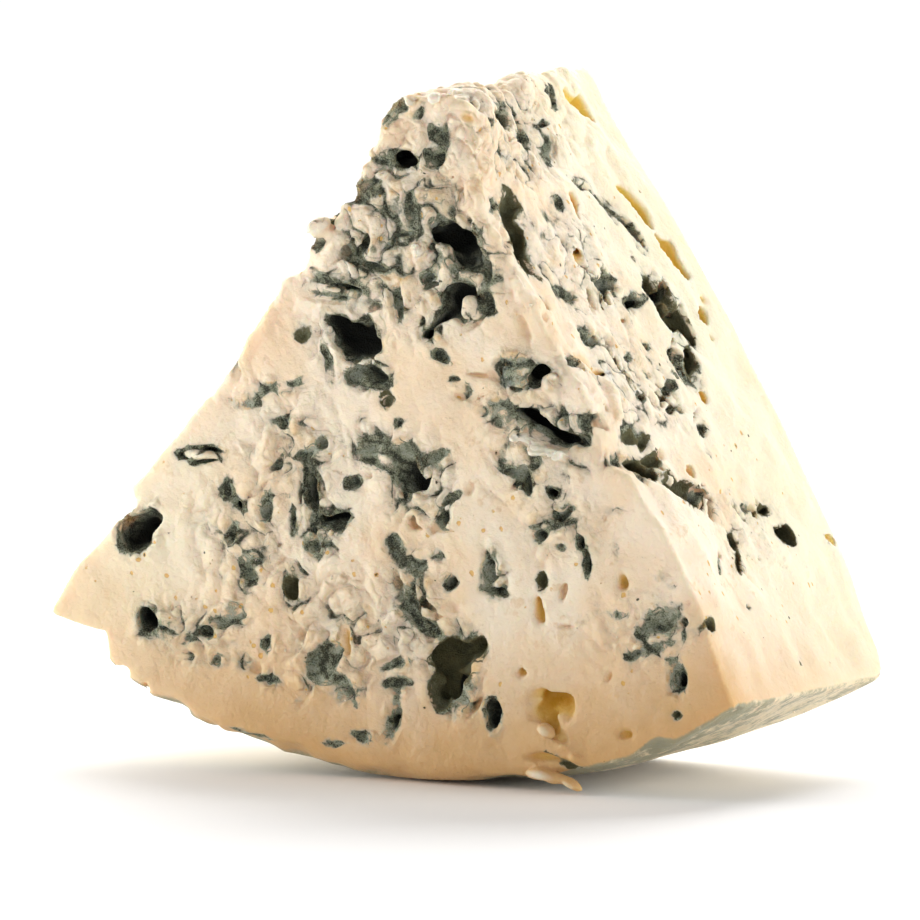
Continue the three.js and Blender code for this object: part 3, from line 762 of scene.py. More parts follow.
def surface_net(values: np.ndarray) -> tuple[np.ndarray, np.ndarray]:
    """Wraps the zero level of a field in quads.

    Args:
        values: The field, negative inside.

    Returns:
        The vertices in steps from the first sample, and the quads with their faces pointing out.
    """
    inside = values < 0
    shape = np.array(values.shape)
    count = np.zeros(shape - 1, np.int8)
    for corner in product((0, 1), repeat=3):
        window = tuple(slice(c, n - 1 + c) for c, n in zip(corner, shape))
        count += inside[window]
    cells = np.argwhere((count > 0) & (count < 8))
    number = np.full(shape - 1, -1, np.int64)
    number[tuple(cells.T)] = np.arange(len(cells))
    total, hits = np.zeros((len(cells), 3)), np.zeros(len(cells))
    unit = np.eye(3, dtype=int)
    for axis in range(3):
        for corner in product((0, 1), repeat=3):
            if corner[axis]:
                continue
            near = values[tuple((cells + corner).T)]
            far = values[tuple((cells + corner + unit[axis]).T)]
            crossing = (near < 0) != (far < 0)
            share = np.where(crossing, near / np.where(crossing, near - far, 1), 0)
            total += crossing[:, None] * (np.array(corner) + share[:, None] * unit[axis])
            hits += crossing
    points = cells + total / hits[:, None]
    quads = []
    for axis in range(3):
        lower = [slice(1, n - 1) for n in shape]
        upper = list(lower)
        lower[axis], upper[axis] = slice(0, shape[axis] - 1), slice(1, shape[axis])
        near, far = inside[tuple(lower)], inside[tuple(upper)]
        edges = np.argwhere(near != far) + 1 - unit[axis]
        outward = inside[tuple(edges.T)]
        one, two = unit[(axis + 1) % 3], unit[(axis + 2) % 3]
        ring = [number[tuple((edges - shift).T)] for shift in (one + two, two, 0 * one, one)]
        quad = np.stack(ring, axis=1)
        quads.append(np.where(outward[:, None], quad, quad[:, ::-1]))
    return points, np.concatenate(quads)


def largest_piece(points: np.ndarray, quads: np.ndarray) -> tuple[np.ndarray, np.ndarray]:
    """Keeps only the largest connected surface.

    Args:
        points: The vertices.
        quads: The faces.

    Returns:
        The vertices and faces that are kept.
    """
    label = np.arange(len(points))
    while True:
        lowest = label[quads].min(axis=1)
        fresh = label.copy()
        for column in range(4):
            np.minimum.at(fresh, quads[:, column], lowest)
        fresh = fresh[fresh]
        if np.array_equal(fresh, label):
            break
        label = fresh
    keep = label == np.bincount(label).argmax()
    new_number = np.cumsum(keep) - 1
    return points[keep], new_number[quads[keep[quads[:, 0]]]]


def mesh_from(name: str, points: np.ndarray, faces: np.ndarray) -> bpy.types.Mesh:
    """Makes a mesh from vertices in metres and faces that all have the same number of corners.

    Args:
        name: The mesh's name.
        points: The vertices.
        faces: The faces.

    Returns:
        The mesh.
    """
    mesh = bpy.data.meshes.new(name)
    corners = faces.shape[1]
    mesh.vertices.add(len(points))
    mesh.vertices.foreach_set("co", points.astype(np.float32).ravel())
    mesh.loops.add(faces.size)
    mesh.loops.foreach_set("vertex_index", faces.astype(np.int32).ravel())
    mesh.polygons.add(len(faces))
    mesh.polygons.foreach_set("loop_start", np.arange(0, faces.size, corners, dtype=np.int32))
    mesh.update(calc_edges=True)
    mesh.validate()
    return mesh


def vertex_places(mesh: bpy.types.Mesh) -> np.ndarray:
    """The vertices of a mesh.

    Args:
        mesh: The mesh.

    Returns:
        The vertices in millimetres, one to a row.
    """
    flat = np.empty(3 * len(mesh.vertices), np.float32)
    mesh.vertices.foreach_get("co", flat)
    return flat.reshape(-1, 3) / MM


def set_values(mesh: bpy.types.Mesh, name: str, values: np.ndarray) -> None:
    """Stores one number for each vertex as an attribute.

    Args:
        mesh: The mesh.
        name: The attribute's name.
        values: The numbers.
    """
    if name in mesh.attributes:
        mesh.attributes.remove(mesh.attributes[name])
    mesh.attributes.new(name, "FLOAT", "POINT").data.foreach_set("value", values.astype(np.float32))


def finished_copy(piece: bpy.types.Object, name: str) -> bpy.types.Object:
    """Turns a piece with modifiers into a plain mesh object.

    Args:
        piece: The object with its modifiers, which is deleted.
        name: The name of the plain object.

    Returns:
        The plain object.
    """
    shaped = piece.evaluated_get(bpy.context.evaluated_depsgraph_get())
    mesh = bpy.data.meshes.new_from_object(shaped)
    old = piece.data
    bpy.data.objects.remove(piece)
    bpy.data.meshes.remove(old)
    mesh.name = name
    plain = bpy.data.objects.new(name, mesh)
    bpy.context.scene.collection.objects.link(plain)
    return plain


# ---------------------------------------------------------------------------------------------------------
# The cheese
# ---------------------------------------------------------------------------------------------------------


# The lattice spacing of each noise that roughens the wedge, from broad swells to grit.
NOISE_GAPS = {
    "swell": (15, 12, 15),
    "wave": (6.5, 3.8, 6.5),
    "lump": (2.9, 1.7, 2.6),
    "grit": (1.3, 0.9, 1.2),
}
DRIFT_GAP = (3.8, 2.4, 3.4)


@dataclass
class CarvedPaste:
    """The wedge's distance field, and the fields that say where the mould and the bare hollows are.

    Sizes are in millimetres, and depths are measured from the front face.
    """

    block: Block
    wheel: Wheel = WHEEL
    tip_front: float = 97.4
    tip_rise: float = 2.4
    tip_round: float = 2.4
    foot_round: float = 2.0
    crease: float = 0.7
    worn_edge: float = 4.5
    ledge: float = 1.3
    ledge_down: float = 61.2
    ledge_slope: float = 0.6
    ledge_fade: float = 13.0
    far_bulge: float = 2.4
    chip_top: float = 20.9
    chip_slope: float = 0.24
    chip_side: float = 52.3
    chip_depth: float = 29.0
    joint: float = 0.3
    crumbly_spot: Vector3 = (-12.0, 0.0, 21.0)
    crumbly_size: Vector3 = (9.0, 0.0, 7.0)
    bloom_depth: float = 5.0
    marbling_depth: float = 8.0
    loose_blooms: int = 150
    front_scallops: int = 360
    side_scallops: int = 420
    scallop_reach: float = 97.0
    needle_rings: tuple[float, ...] = (22.0, 38.0, 54.0, 70.0, 86.0)
    needle_turns_deg: tuple[float, float] = (-32.0, 26.0)
    needle_gap: float = 15.0
    needle_depth: float = 6.0
    needle_lean_deg: float = 2.0
    noise: dict[str, np.ndarray] = field(init=False)
    drift: list[np.ndarray] = field(init=False)
    rind_depth: np.ndarray = field(init=False)
    solid: np.ndarray = field(init=False)
    nominal: np.ndarray = field(init=False)
    mould: np.ndarray = field(init=False)
    olive: np.ndarray = field(init=False)
    bare: np.ndarray = field(init=False)
    crumble: np.ndarray = field(init=False)

    def build(self) -> None:
        """Carves the wedge."""
        rng = np.random.default_rng(SEED)
        self.noise = {name: self.block.lattice_noise(gap, rng) for name, gap in NOISE_GAPS.items()}
        self.drift = [self.block.lattice_noise(DRIFT_GAP, rng) for _ in range(3)]
        self._spread_mould(rng)
        self._cut_wedge()
        self._scallop_faces(rng)
        for face, hollows in ((FRONT, FRONT_HOLLOWS), (RIGHT, RIGHT_HOLLOWS), (LEFT, LEFT_HOLLOWS)):
            for hollow in hollows:
                self._carve(face, hollow)
        self._carve_pin_holes(rng)
        for face, lumps in ((FRONT, FRONT_LUMPS), (RIGHT, RIGHT_LUMPS)):
            for lump in lumps:
                self._add_lump(face, lump)

    def _spread_mould(self, rng: np.random.Generator) -> None:
        """Fills the mould and crumble fields from the blooms on each face and loose ones inside.

        Args:
            rng: The source of random numbers.
        """
        shape = [len(axis) for axis in self.block.axes]
        self.mould = np.zeros(shape, np.float32)
        self.olive, self.bare = self.mould.copy(), self.mould.copy()
        for face, blooms in ((FRONT, FRONT_BLOOMS), (RIGHT, RIGHT_BLOOMS), (LEFT, LEFT_BLOOMS)):
            for bloom in blooms:
                self._splat(face, bloom, self.bloom_depth)
        for face, blooms in ((FRONT, FRONT_MARBLING), (RIGHT, RIGHT_MARBLING), (LEFT, LEFT_MARBLING)):
            for bloom in blooms:
                self._splat(face, bloom, self.marbling_depth)
        for _ in range(self.loose_blooms):
            down = self.wheel.radius * math.sqrt(rng.uniform(0.02, 0.7))
            across, up = rng.uniform(8, 40), -down
            wide, high = rng.uniform(1.2, 3.2), rng.uniform(1.2, 4.5)
            bloom = Bloom(across, up, wide, high, rng.uniform(0.6, 0.95))
            self._splat(LEFT, bloom, self.bloom_depth)
        x, y, z = self.block.grid
        torn = smooth_step(z, 78, 92) * 0.4
        spot, size = self.crumbly_spot, self.crumbly_size
        shelf = np.exp(-(((x - spot[0]) / size[0]) ** 2) - ((z - spot[2]) / size[2]) ** 2) * 0.5
        self.crumble = np.clip(self.mould * 0.8 + torn + shelf + 0.12, 0, 1).astype(np.float32)
        from_front = y - self.wheel.front
        self.crumble *= 1 - 0.42 * smooth_step(from_front, 2, 6)
        self.crumble *= 1 - 0.8 * smooth_step(from_front, 40, 46)

    def _splat(self, face: Face, bloom: Bloom, deep: float) -> None:
        """Adds one bloom to the mould field.

        Args:
            face: The face that it lies on.
            bloom: The bloom.
            deep: How far into the paste it reaches.
        """
        centre = face.point(bloom.a, bloom.b)
        part, (dx, dy, dz) = self.block.window(centre, 2.2 * max(bloom.wide, bloom.high, deep))
        spans = []
        for axis, size in ((face.across, bloom.wide), (face.up, bloom.high), (face.inward, deep)):
            spans.append((dx * axis[0] + dy * axis[1] + dz * axis[2]) / size)
        away = spans[0] ** 2 + spans[1] ** 2 + spans[2] ** 2
        self.mould[part] = np.maximum(self.mould[part], bloom.strength * np.exp(-0.75 * away**1.5))

    def _cut_wedge(self) -> None:
        """Makes the wheel and the cuts, with their waves and torn edges."""
        x, y, z = self.block.grid
        noise, loose = self.noise, self.crumble
        from_front = y - self.wheel.front
        rind = self._wheel_skin(x, y, z)
        self.rind_depth = -rind
        front = self.wheel.front - y + 0.22 * noise["swell"] + (0.16 + 0.25 * loose) * noise["wave"]
        left, right = self._left_cut(x, z, from_front), self._right_cut(x, z, from_front)
        rise = self.tip_rise * from_front / self.wheel.thick
        top = z - self.tip_front - rise + 0.9 * noise["wave"]
        cuts = softer_max(softer_max(left, right, self.crease), top, self.tip_round)
        cuts = softer_max(cuts, front, self.crease)
        foot = softer_max(rind, -z + 0 * x, self.foot_round)
        worn = self.worn_edge * (1 - smooth_step(z, 4, 16)) * (1 - smooth_step(x, 18, 30))
        foot = softer_max(foot, front, self.crease + worn)
        whole = softer_max(cuts, foot, self.crease)
        self.nominal = softer_max(whole, -self._corner_chip(x, z, from_front), 0.5)
        tear = (0.1 + loose) * (0.34 * noise["lump"] + 0.16 * noise["grit"])
        side_face = smooth_step(-np.minimum(np.abs(right), np.abs(left)), -3, -1)
        side_face = side_face * smooth_step(from_front, 0.5, 3)
        inner = smooth_step(self.rind_depth, 0.5, 4)
        self.solid = self.nominal + inner * (tear + 0.26 * side_face * noise["lump"])

    def _wheel_skin(self, x: np.ndarray, y: np.ndarray, z: np.ndarray) -> np.ndarray:
        """The distance to the wheel's rind, with its back edge rounded.

        Args:
            x: The samples along X.
            y: The samples along Y.
            z: The samples along Z.

        Returns:
            The distance, negative inside.
        """
        wheel, noise = self.wheel, self.noise
        rim = np.hypot(x, z - wheel.radius) - wheel.radius + 0.45 * noise["wave"] + 0.25 * noise["swell"]
        rim = rim + 1.2 * np.maximum(noise["lump"], -0.2) * smooth_step(-y - wheel.rim, 8, 17)
        flat = y + wheel.front + 0.2 * noise["wave"]
        corner = np.hypot(np.maximum(rim + wheel.rim, 0), np.maximum(flat + wheel.rim, 0))
        return corner + np.minimum(np.maximum(rim, flat) + wheel.rim, 0) - wheel.rim

    def _left_cut(self, x: np.ndarray, z: np.ndarray, from_front: np.ndarray) -> np.ndarray:
        """The distance to the left cut, torn along its front edge.

        Args:
            x: The samples along X.
            z: The samples along Z.
            from_front: How far each sample is behind the front face.

        Returns:
            The distance, negative inside.
        """
        lean, edge = math.radians(self.wheel.left_cut), np.array(LEFT_EDGE).T
        cut = -math.cos(lean) * x + math.sin(lean) * (z - self.wheel.radius)
        fade = 1 - 0.75 * smooth_step(from_front, 6, 20)
        cut = cut - np.interp(z, edge[0], edge[1]) * fade
        return cut + 0.45 * self.noise["wave"] + 0.3 * self.noise["swell"]

    def _right_cut(self, x: np.ndarray, z: np.ndarray, from_front: np.ndarray) -> np.ndarray:
        """The distance to the right cut, torn along its front edge, with a ledge low down.

        Args:
            x: The samples along X.
            z: The samples along Z.
            from_front: How far each sample is behind the front face.

        Returns:
            The distance, negative inside.
        """
        wheel = self.wheel
        lean, edge = math.radians(wheel.right_cut), np.array(RIGHT_EDGE).T
        cut = math.cos(lean) * x + math.sin(lean) * (z - wheel.radius)
        down = (wheel.radius - z) / math.cos(lean)
        fade = 1 - smooth_step(from_front, 6, 16)
        below = down - self.ledge_down - self.ledge_slope * from_front
        shelf = smooth_step(below, -0.4, 0.4) * np.exp(-np.maximum(below, 0) / self.ledge_fade)
        shelf = shelf * smooth_step(-from_front, -25, -15) * smooth_step(from_front, 2, 7)
        arch = np.sin(np.pi * np.clip(down / wheel.radius, 0, 1))
        bulge = self.far_bulge * arch * (from_front / wheel.thick) ** 2
        cut = cut - np.interp(z, edge[0], edge[1]) * fade - self.ledge * shelf - bulge
        return cut + 0.4 * self.noise["wave"] + 0.25 * self.noise["swell"]

    def _corner_chip(self, x: np.ndarray, z: np.ndarray, from_front: np.ndarray) -> np.ndarray:
        """The distance to the flake that has broken out of the rind at the left corner.

        Args:
            x: The samples along X.
            z: The samples along Z.
            from_front: How far each sample is behind the front face.

        Returns:
            The distance, negative inside the flake.
        """
        under = z - (self.chip_top - self.chip_slope * (x + 60))
        under = under + 0.35 * self.noise["wave"] + 0.3 * self.noise["lump"]
        side = x + self.chip_side + 0.4 * (z - 17) / 3 + 0.3 * self.noise["lump"]
        return np.maximum(np.maximum(under, side), from_front - self.chip_depth)

    def _lens(
        self, centre: np.ndarray, face: Face, shape: Hollow | Lump
    ) -> tuple[tuple[slice, ...], np.ndarray]:
        """The distance to a ragged lens.

        Args:
            centre: Its middle.
            face: The face whose frame it lies in.
            shape: Its half sizes and tilt.

        Returns:
            The part of the block round it, and the distance there.
        """
        sizes = (shape.wide, shape.high, shape.deep)
        part, (dx, dy, dz) = self.block.window(centre, 1.3 * max(sizes) + 2)
        least = min(shape.wide, shape.high)
        bend = 0.2 + min(1.2, 0.6 * least)
        dx, dy, dz = (offset + bend * drift[part] for offset, drift in zip((dx, dy, dz), self.drift))
        turn = math.radians(shape.tilt)
        across, up = np.array(face.across), np.array(face.up)
        along = math.cos(turn) * across + math.sin(turn) * up
        over = math.cos(turn) * up - math.sin(turn) * across
        away = 0
        for axis, size in zip((along, over, np.array(face.inward)), sizes):
            away = away + ((dx * axis[0] + dy * axis[1] + dz * axis[2]) / size) ** 2
        ragged = min(0.6, 0.4 * least) * (self.noise["lump"][part] + 0.9 * self.noise["grit"][part])
        return part, (np.sqrt(away) - 1) * least * 0.9 + ragged

    def _add_lump(self, face: Face, lump: Lump) -> None:
        """Joins one lump of paste to a face.

        Args:
            face: The face.
            lump: The lump.
        """
        centre = face.point(lump.a, lump.b) - lump.proud * np.array(face.inward)
        part, gap = self._lens(centre, face, lump)
        self.solid[part] = -softer_max(-self.solid[part], -gap, self.joint)
        inside = 1 - smooth_step(gap, -0.1, 0.3)
        self.nominal[part] = np.minimum(self.nominal[part], gap)
        self.mould[part] *= 1 - 0.6 * inside
        self.rind_depth[part] = np.maximum(self.rind_depth[part], 1.5 * inside)

    def _scallop_faces(self, rng: np.random.Generator) -> None:
        """Tears many small shallow scallops out of the cut faces where the paste is loose.

        Args:
            rng: The source of random numbers.
        """
        counts = ((FRONT, self.front_scallops), (RIGHT, self.side_scallops), (LEFT, self.side_scallops))
        for face, count in counts:
            for _ in range(count):
                down = self.scallop_reach * math.sqrt(rng.uniform(0.02, 1))
                turn = rng.uniform(-38, 30)
                long, short = rng.uniform(0.6, 3.0), rng.uniform(0.18, 0.6)
                deep, tilt = rng.uniform(0.3, 1.2), rng.uniform(-90, 90)
                keep = rng.uniform() < 1.15 - smooth_step(np.array(down), 70, 92)
                luck = rng.uniform(0.1, 0.45)
                if face is FRONT:
                    angle = math.radians(turn)
                    a, b = down * math.sin(angle), self.wheel.radius - down * math.cos(angle)
                    spot = Hollow(a, b, 0.7 * long, short, deep, tilt, PLAIN)
                else:
                    a, b = rng.uniform(0, 46), -down
                    spot = Hollow(a, b, 1.2 * short, 0.8 * long, deep, 0.6 * tilt, PLAIN)
                looseness = self.block.sample(self.crumble, face.point(a, b)[None, :])[0]
                if keep and looseness > luck:
                    self._carve(face, spot)

    def _carve(self, face: Face, hollow: Hollow) -> None:
        """Cuts one hollow and marks its lining.

        Args:
            face: The face that it lies in.
            hollow: The hollow.
        """
        part, gap = self._lens(face.point(hollow.a, hollow.b), face, hollow)
        self.solid[part] = softer_max(self.solid[part], -gap, self.joint)
        if hollow.lining is Lining.PLAIN:
            return
        coat = 1 - smooth_step(gap, 0.05, 0.5)
        self.crumble[part] *= 1 - 0.9 * (1 - smooth_step(gap, 0.1, 0.9))
        if hollow.lining is Lining.BARE:
            self.bare[part] = np.maximum(self.bare[part], coat)
            return
        self.mould[part] = np.maximum(self.mould[part], coat)
        if hollow.lining is Lining.OLIVE:
            self.olive[part] = np.maximum(self.olive[part], coat)

    def _carve_pin_holes(self, rng: np.random.Generator) -> None:
        """Cuts the holes that the piercing needles left in the flat rind.

        Args:
            rng: The source of random numbers.
        """
        lean, hub, back = math.radians(self.needle_lean_deg), self.wheel.radius, -self.wheel.front
        for radius in self.needle_rings:
            for turn in np.arange(*self.needle_turns_deg, math.degrees(self.needle_gap / radius)):
                angle = math.radians(turn + rng.uniform(-2, 2))
                middle = np.array([radius * math.sin(angle), back, hub - radius * math.cos(angle)])
                middle += rng.uniform(-1, 1, 3) * (1, 0, 1)
                part, (dx, dy, dz) = self.block.window(middle, self.needle_depth + 1)
                width = rng.uniform(0.65, 0.95)
                gap = np.hypot(dx, dz + math.sin(lean) * dy) - width + 0.12 * self.noise["grit"][part]
                gap = np.maximum(gap, -self.needle_depth - dy)
                self.solid[part] = softer_max(self.solid[part], -gap, self.joint)


@dataclass
class CheeseWedge:
    """The wedge of paste with its rind, as one closed mesh."""

    paste: CarvedPaste
    grains: CurdGrains
    triangles: int = 190_000
    grain_height: float = 0.7
    seam_depth: float = 0.4

    def build(self, finish: bpy.types.Material) -> bpy.types.Object:
        """Makes the wedge.

        Args:
            finish: The material of the paste, the mould and the rind.

        Returns:
            The finished object.
        """
        block = self.paste.block
        points, quads = largest_piece(*surface_net(self.paste.solid))
        places = points * block.step + np.array([axis[0] for axis in block.axes])
        mesh = mesh_from("cheese", places * MM, quads)
        set_values(mesh, "loose", block.sample(self.paste.crumble, places))
        rough = bpy.data.objects.new("cheese", mesh)
        bpy.context.scene.collection.objects.link(rough)
        self._raise_grains(rough, finish)
        thin = rough.modifiers.new("thin", "DECIMATE")
        thin.ratio = self.triangles / (2 * len(quads))
        piece = finished_copy(rough, "cheese_paste")
        self._rest_on_floor(piece.data)
        self._mark(piece.data)
        piece.data.materials.clear()
        piece.data.materials.append(finish)
        piece.data.polygons.foreach_set("use_smooth", [True] * len(piece.data.polygons))
        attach(piece, "root")
        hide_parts("cheese_wedge")
        return piece

    def _raise_grains(self, rough: bpy.types.Object, finish: bpy.types.Material) -> None:
        """Moves the surface so that curd grains stand out between seams where the paste is loose.

        Args:
            rough: The carved wedge, which gets the modifier.
            finish: The material of the paste.
        """
        tree = PasteTree("curd_relief", {"Grain height": self.grain_height, "Seam depth": self.seam_depth})
        sheet, height, depth = tree.sheet, tree.size("Grain height"), tree.size("Seam depth")
        place = sheet.node("GeometryNodeInputPosition", {}, {})
        place = sheet.vector_maths("MULTIPLY", place, (1 / MM,) * 3)
        seam, small_seam = self.grains.pattern(sheet, place)
        lumps = seam.ramp(0.0, 0.75) * height + small_seam.ramp(0.0, 0.8) * height * 0.35
        crack = 1 - seam.ramp(0.0, 0.16)
        loose = sheet.stored_value("loose")
        move = (lumps - height * 0.55 - crack * depth) * loose.ramp(0.0, 0.75) * MM
        normal = sheet.node("GeometryNodeInputNormal", {}, {})
        offset = sheet.node("ShaderNodeVectorMath", {"operation": "SCALE"}, {0: normal, "Scale": move})
        moved = sheet.node("GeometryNodeSetPosition", {}, {"Geometry": tree.paste, "Offset": offset})
        tree.end(moved, finish)
        tree.put_on(rough)

    def _rest_on_floor(self, mesh: bpy.types.Mesh) -> None:
        """Lifts every vertex that is below the surface that the wedge stands on.

        Args:
            mesh: The wedge's mesh.
        """
        places = vertex_places(mesh)
        places[:, 2] = np.maximum(places[:, 2], 0)
        mesh.vertices.foreach_set("co", (places * MM).astype(np.float32).ravel())
        mesh.update()

    def _mark(self, mesh: bpy.types.Mesh) -> None:
        """Stores on each vertex what the finish needs to know.

        Args:
            mesh: The wedge's mesh.
        """
        paste, block = self.paste, self.paste.block
        places = vertex_places(mesh)
        for name in ("mould", "olive", "bare", "crumble"):
            set_values(mesh, name, block.sample(getattr(paste, name), places))
        set_values(mesh, "sunk", -block.sample(paste.nominal, places))
        set_values(mesh, "rind", block.sample(paste.rind_depth, places))


# ---------------------------------------------------------------------------------------------------------
# Finishes
# ---------------------------------------------------------------------------------------------------------


@dataclass(frozen=True)
class PasteFinish:
    """Moist ivory paste with blue-grey mould in its hollows and a tan rind, with painted light and shade in
    its colour.
    """

    grains: CurdGrains
    ivory: Colour = (0.91, 0.785, 0.615)
    cream: Colour = (0.88, 0.69, 0.475)
    painted_glow_straw: Colour = (0.94, 0.86, 0.64)
    tan: Colour = (0.66, 0.40, 0.16)
    recess_shade_colour: Colour = (0.74, 0.50, 0.25)
    honey: Colour = (0.84, 0.59, 0.19)
    amber: Colour = (0.55, 0.28, 0.02)
    stain: Colour = (0.66, 0.42, 0.14)
    backlit_gold: Colour = (0.90, 0.74, 0.20)
    painted_flake_highlight: Colour = (0.95, 0.89, 0.76)
    rind: Colour = (0.74, 0.63, 0.43)
    rind_grey: Colour = (0.21, 0.225, 0.155)
    shadow_grey: Colour = (0.47, 0.47, 0.40)
    mould_black_and_depth_shade: Colour = (0.012, 0.013, 0.010)
    mould_dark: Colour = (0.062, 0.064, 0.044)
    mould_green: Colour = (0.315, 0.338, 0.235)
    mould_pale: Colour = (0.57, 0.58, 0.46)
    olive: Colour = (0.135, 0.125, 0.055)
    fleck: Colour = (0.74, 0.43, 0.08)
    speck: Colour = (0.10, 0.085, 0.045)

    def material(self) -> bpy.types.Material:
        """Builds the node material.

        Returns:
            The material of the paste, the mould and the rind.
        """
        material, sheet = started_material("blue_cheese_paste")
        place = sheet.object_place()
        names = ("mould", "olive", "bare", "crumble", "sunk", "rind")
        mark = {name: self._mark(sheet, name) for name in names}
        broad = sheet.noise(place, 0.06)
        patch = sheet.noise(place, 0.28, 3.0)
        fine = sheet.noise(place, 1.1, 4.0, 0.6)
        grit = sheet.noise(place, 4.2, 3.0, 0.6)
        seam, small_seam = self.grains.pattern(sheet, place)
        mould, haze_and_crease_shade = self._mould_cover(mark, seam, small_seam, patch, fine, grit)
        mark["crust"] = self._crust_depth(sheet, place)
        mark["back"] = sheet.coordinate(place, 1)
        mark["tip"] = sheet.coordinate(place, 0) * -1.0
        paste = self._paste_colour(sheet, mark, broad, patch, fine)
        # Grey near the mould: partly mould haze, partly painted shade in the creases.
        paste = sheet.colour_mix(haze_and_crease_shade, paste, self.shadow_grey)
        speck, fleck = self._specks(sheet, place, mark)
        paste = sheet.colour_mix(fleck * 0.8, paste, self.fleck)
        paste = sheet.colour_mix(speck, paste, self.speck)
        crest = seam.ramp(0.02, 0.55) * 0.4 + small_seam.ramp(0.02, 0.6) * 0.3
        crest = crest + (grit - 0.5) * 1.7 + (fine - 0.5) * 0.7
        coat = self._mould_colour(sheet, mark, crest, patch, fine)
        colour = sheet.colour_mix(mould, paste, coat)
        rough = 0.42 + fine * 0.16 + mould * 0.34
        loose = mark["crumble"].ramp(0.15, 0.6)
        height = fine * 0.3 + grit * 0.08 + patch * 0.7
        relief = small_seam.ramp(-0.1, 0.7) * 0.35 + seam.ramp(-0.1, 0.6) * 0.4 + grit * 0.08
        height = height + loose * relief
        height = height + mould * (grit * 0.9 - 0.3) - speck * 0.3 - fleck * 0.15
        bump = sheet.node("ShaderNodeBump", {}, {"Strength": 1.0, "Distance": MM * 0.8, "Height": height})
        sockets = {
            "Base Color": colour,
            "Roughness": rough,
            "Normal": bump,
            "IOR": 1.42,
            "Specular IOR Level": 0.35,
            "Subsurface Weight": 0.4,
            "Subsurface Radius": (1.0, 0.55, 0.26),
            "Subsurface Scale": 0.0035,
        }
        sheet.surface(sockets)
        return material

    def _mark(self, sheet: NodeSheet, name: str) -> Link:
        """One of the values stored on the vertices."""
        return sheet.node("ShaderNodeAttribute", {"attribute_name": name}, {}, "Fac")

    def _crust_depth(self, sheet: NodeSheet, place: Link) -> Link:
        """How far a place is inside the wheel's curved rind.

        Args:
            sheet: The node sheet to add to.
            place: The position in millimetres.

        Returns:
            The depth in millimetres.
        """
        flat = sheet.vector_maths("MULTIPLY", place, (1.0, 0.0, 1.0))
        flat = sheet.vector_maths("SUBTRACT", flat, (0.0, 0.0, WHEEL.radius))
        away = sheet.node("ShaderNodeVectorMath", {"operation": "LENGTH"}, {0: flat}, "Value")
        return WHEEL.radius - away

    def _specks(self, sheet: NodeSheet, place: Link, mark: dict[str, Link]) -> tuple[Link, Link]:
        """Small marks in the clean paste, away from the rind.

        Args:
            sheet: The node sheet to add to.
            place: The position in millimetres.
            mark: The values stored on the vertices.

        Returns:
            The cover of the dark pinholes and of the amber flecks.
        """
        shake = (sheet.noise(place, 1.7, 3.0) - 0.5) * 0.34
        cell = sheet.vector_maths("DIVIDE", place, (1.9, 1.2, 1.9))
        holes = {"Vector": cell, "Scale": 1.0}
        away = sheet.node("ShaderNodeTexVoronoi", {"feature": "F1"}, holes) + shake
        lot = sheet.node("ShaderNodeTexVoronoi", {"feature": "F1"}, holes, "Color")
        covers = []
        for channel, rare, wide in ((0, 0.84, 0.17), (1, 0.62, 0.25)):
            draw = sheet.coordinate(lot, channel)
            size = draw.ramp(rare, 1.0) * mark["rind"].ramp(5.0, 12.0) * wide
            covers.append((size - away).ramp(0.0, 0.08))
        return covers[0], covers[1]

    def _mould_cover(
        self, mark: dict[str, Link], seam: Link, small_seam: Link, patch: Link, fine: Link, grit: Link
    ) -> tuple[Link, Link]:
        """How much of the surface the mould covers, and how much grey lies on the paste beside it: partly
        mould showing through, partly painted shade in the creases between grains.

        Args:
            mark: The values stored on the vertices.
            seam: The distance to the nearest seam between grains.
            small_seam: The same for the smaller grains.
            patch: Broad noise.
            fine: Fine noise.
            grit: The finest noise.

        Returns:
            The cover and the grey, which is partly mould haze and partly painted crease shade, from 0 to 1.
        """
        ragged = (fine - 0.5) * 1.0 + (grit - 0.5) * 0.5
        near = mark["mould"] + (patch - 0.5) * 0.9
        veins = (near.ramp(0.26, 0.9) * 0.4 - seam + ragged * 0.25).ramp(0.0, 0.16)
        threads = (near.ramp(0.36, 1.0) * 0.34 - small_seam + ragged * 0.3).ramp(0.02, 0.22)
        blots = mark["mould"] + ragged * 0.8 + (patch - 0.5) * 0.8 - seam.ramp(0.2, 1.1) * 0.45
        blots = blots.ramp(0.66, 0.84)
        walls = (mark["sunk"] + ragged * 0.5).ramp(0.4, 0.7) * (mark["mould"] + ragged * 0.2).ramp(0.35, 0.5)
        keep = 1 - (mark["bare"] - mark["mould"]).ramp(-0.1, 0.3)
        # Painted shade in part: grey laid into the creases between grains near the mould, on top of the
        # mould's own haze.
        valley = (1 - seam.ramp(0.0, 0.75)) * 0.75 + (1 - small_seam.ramp(0.0, 0.6)) * 0.45
        haze_and_crease_shade = (near + (fine - 0.5) * 0.7).ramp(0.16, 0.85) * valley.ramp(-0.1, 1.1) * 0.85
        return veins.or_more(threads).or_more(blots).or_more(walls) * keep, haze_and_crease_shade * keep

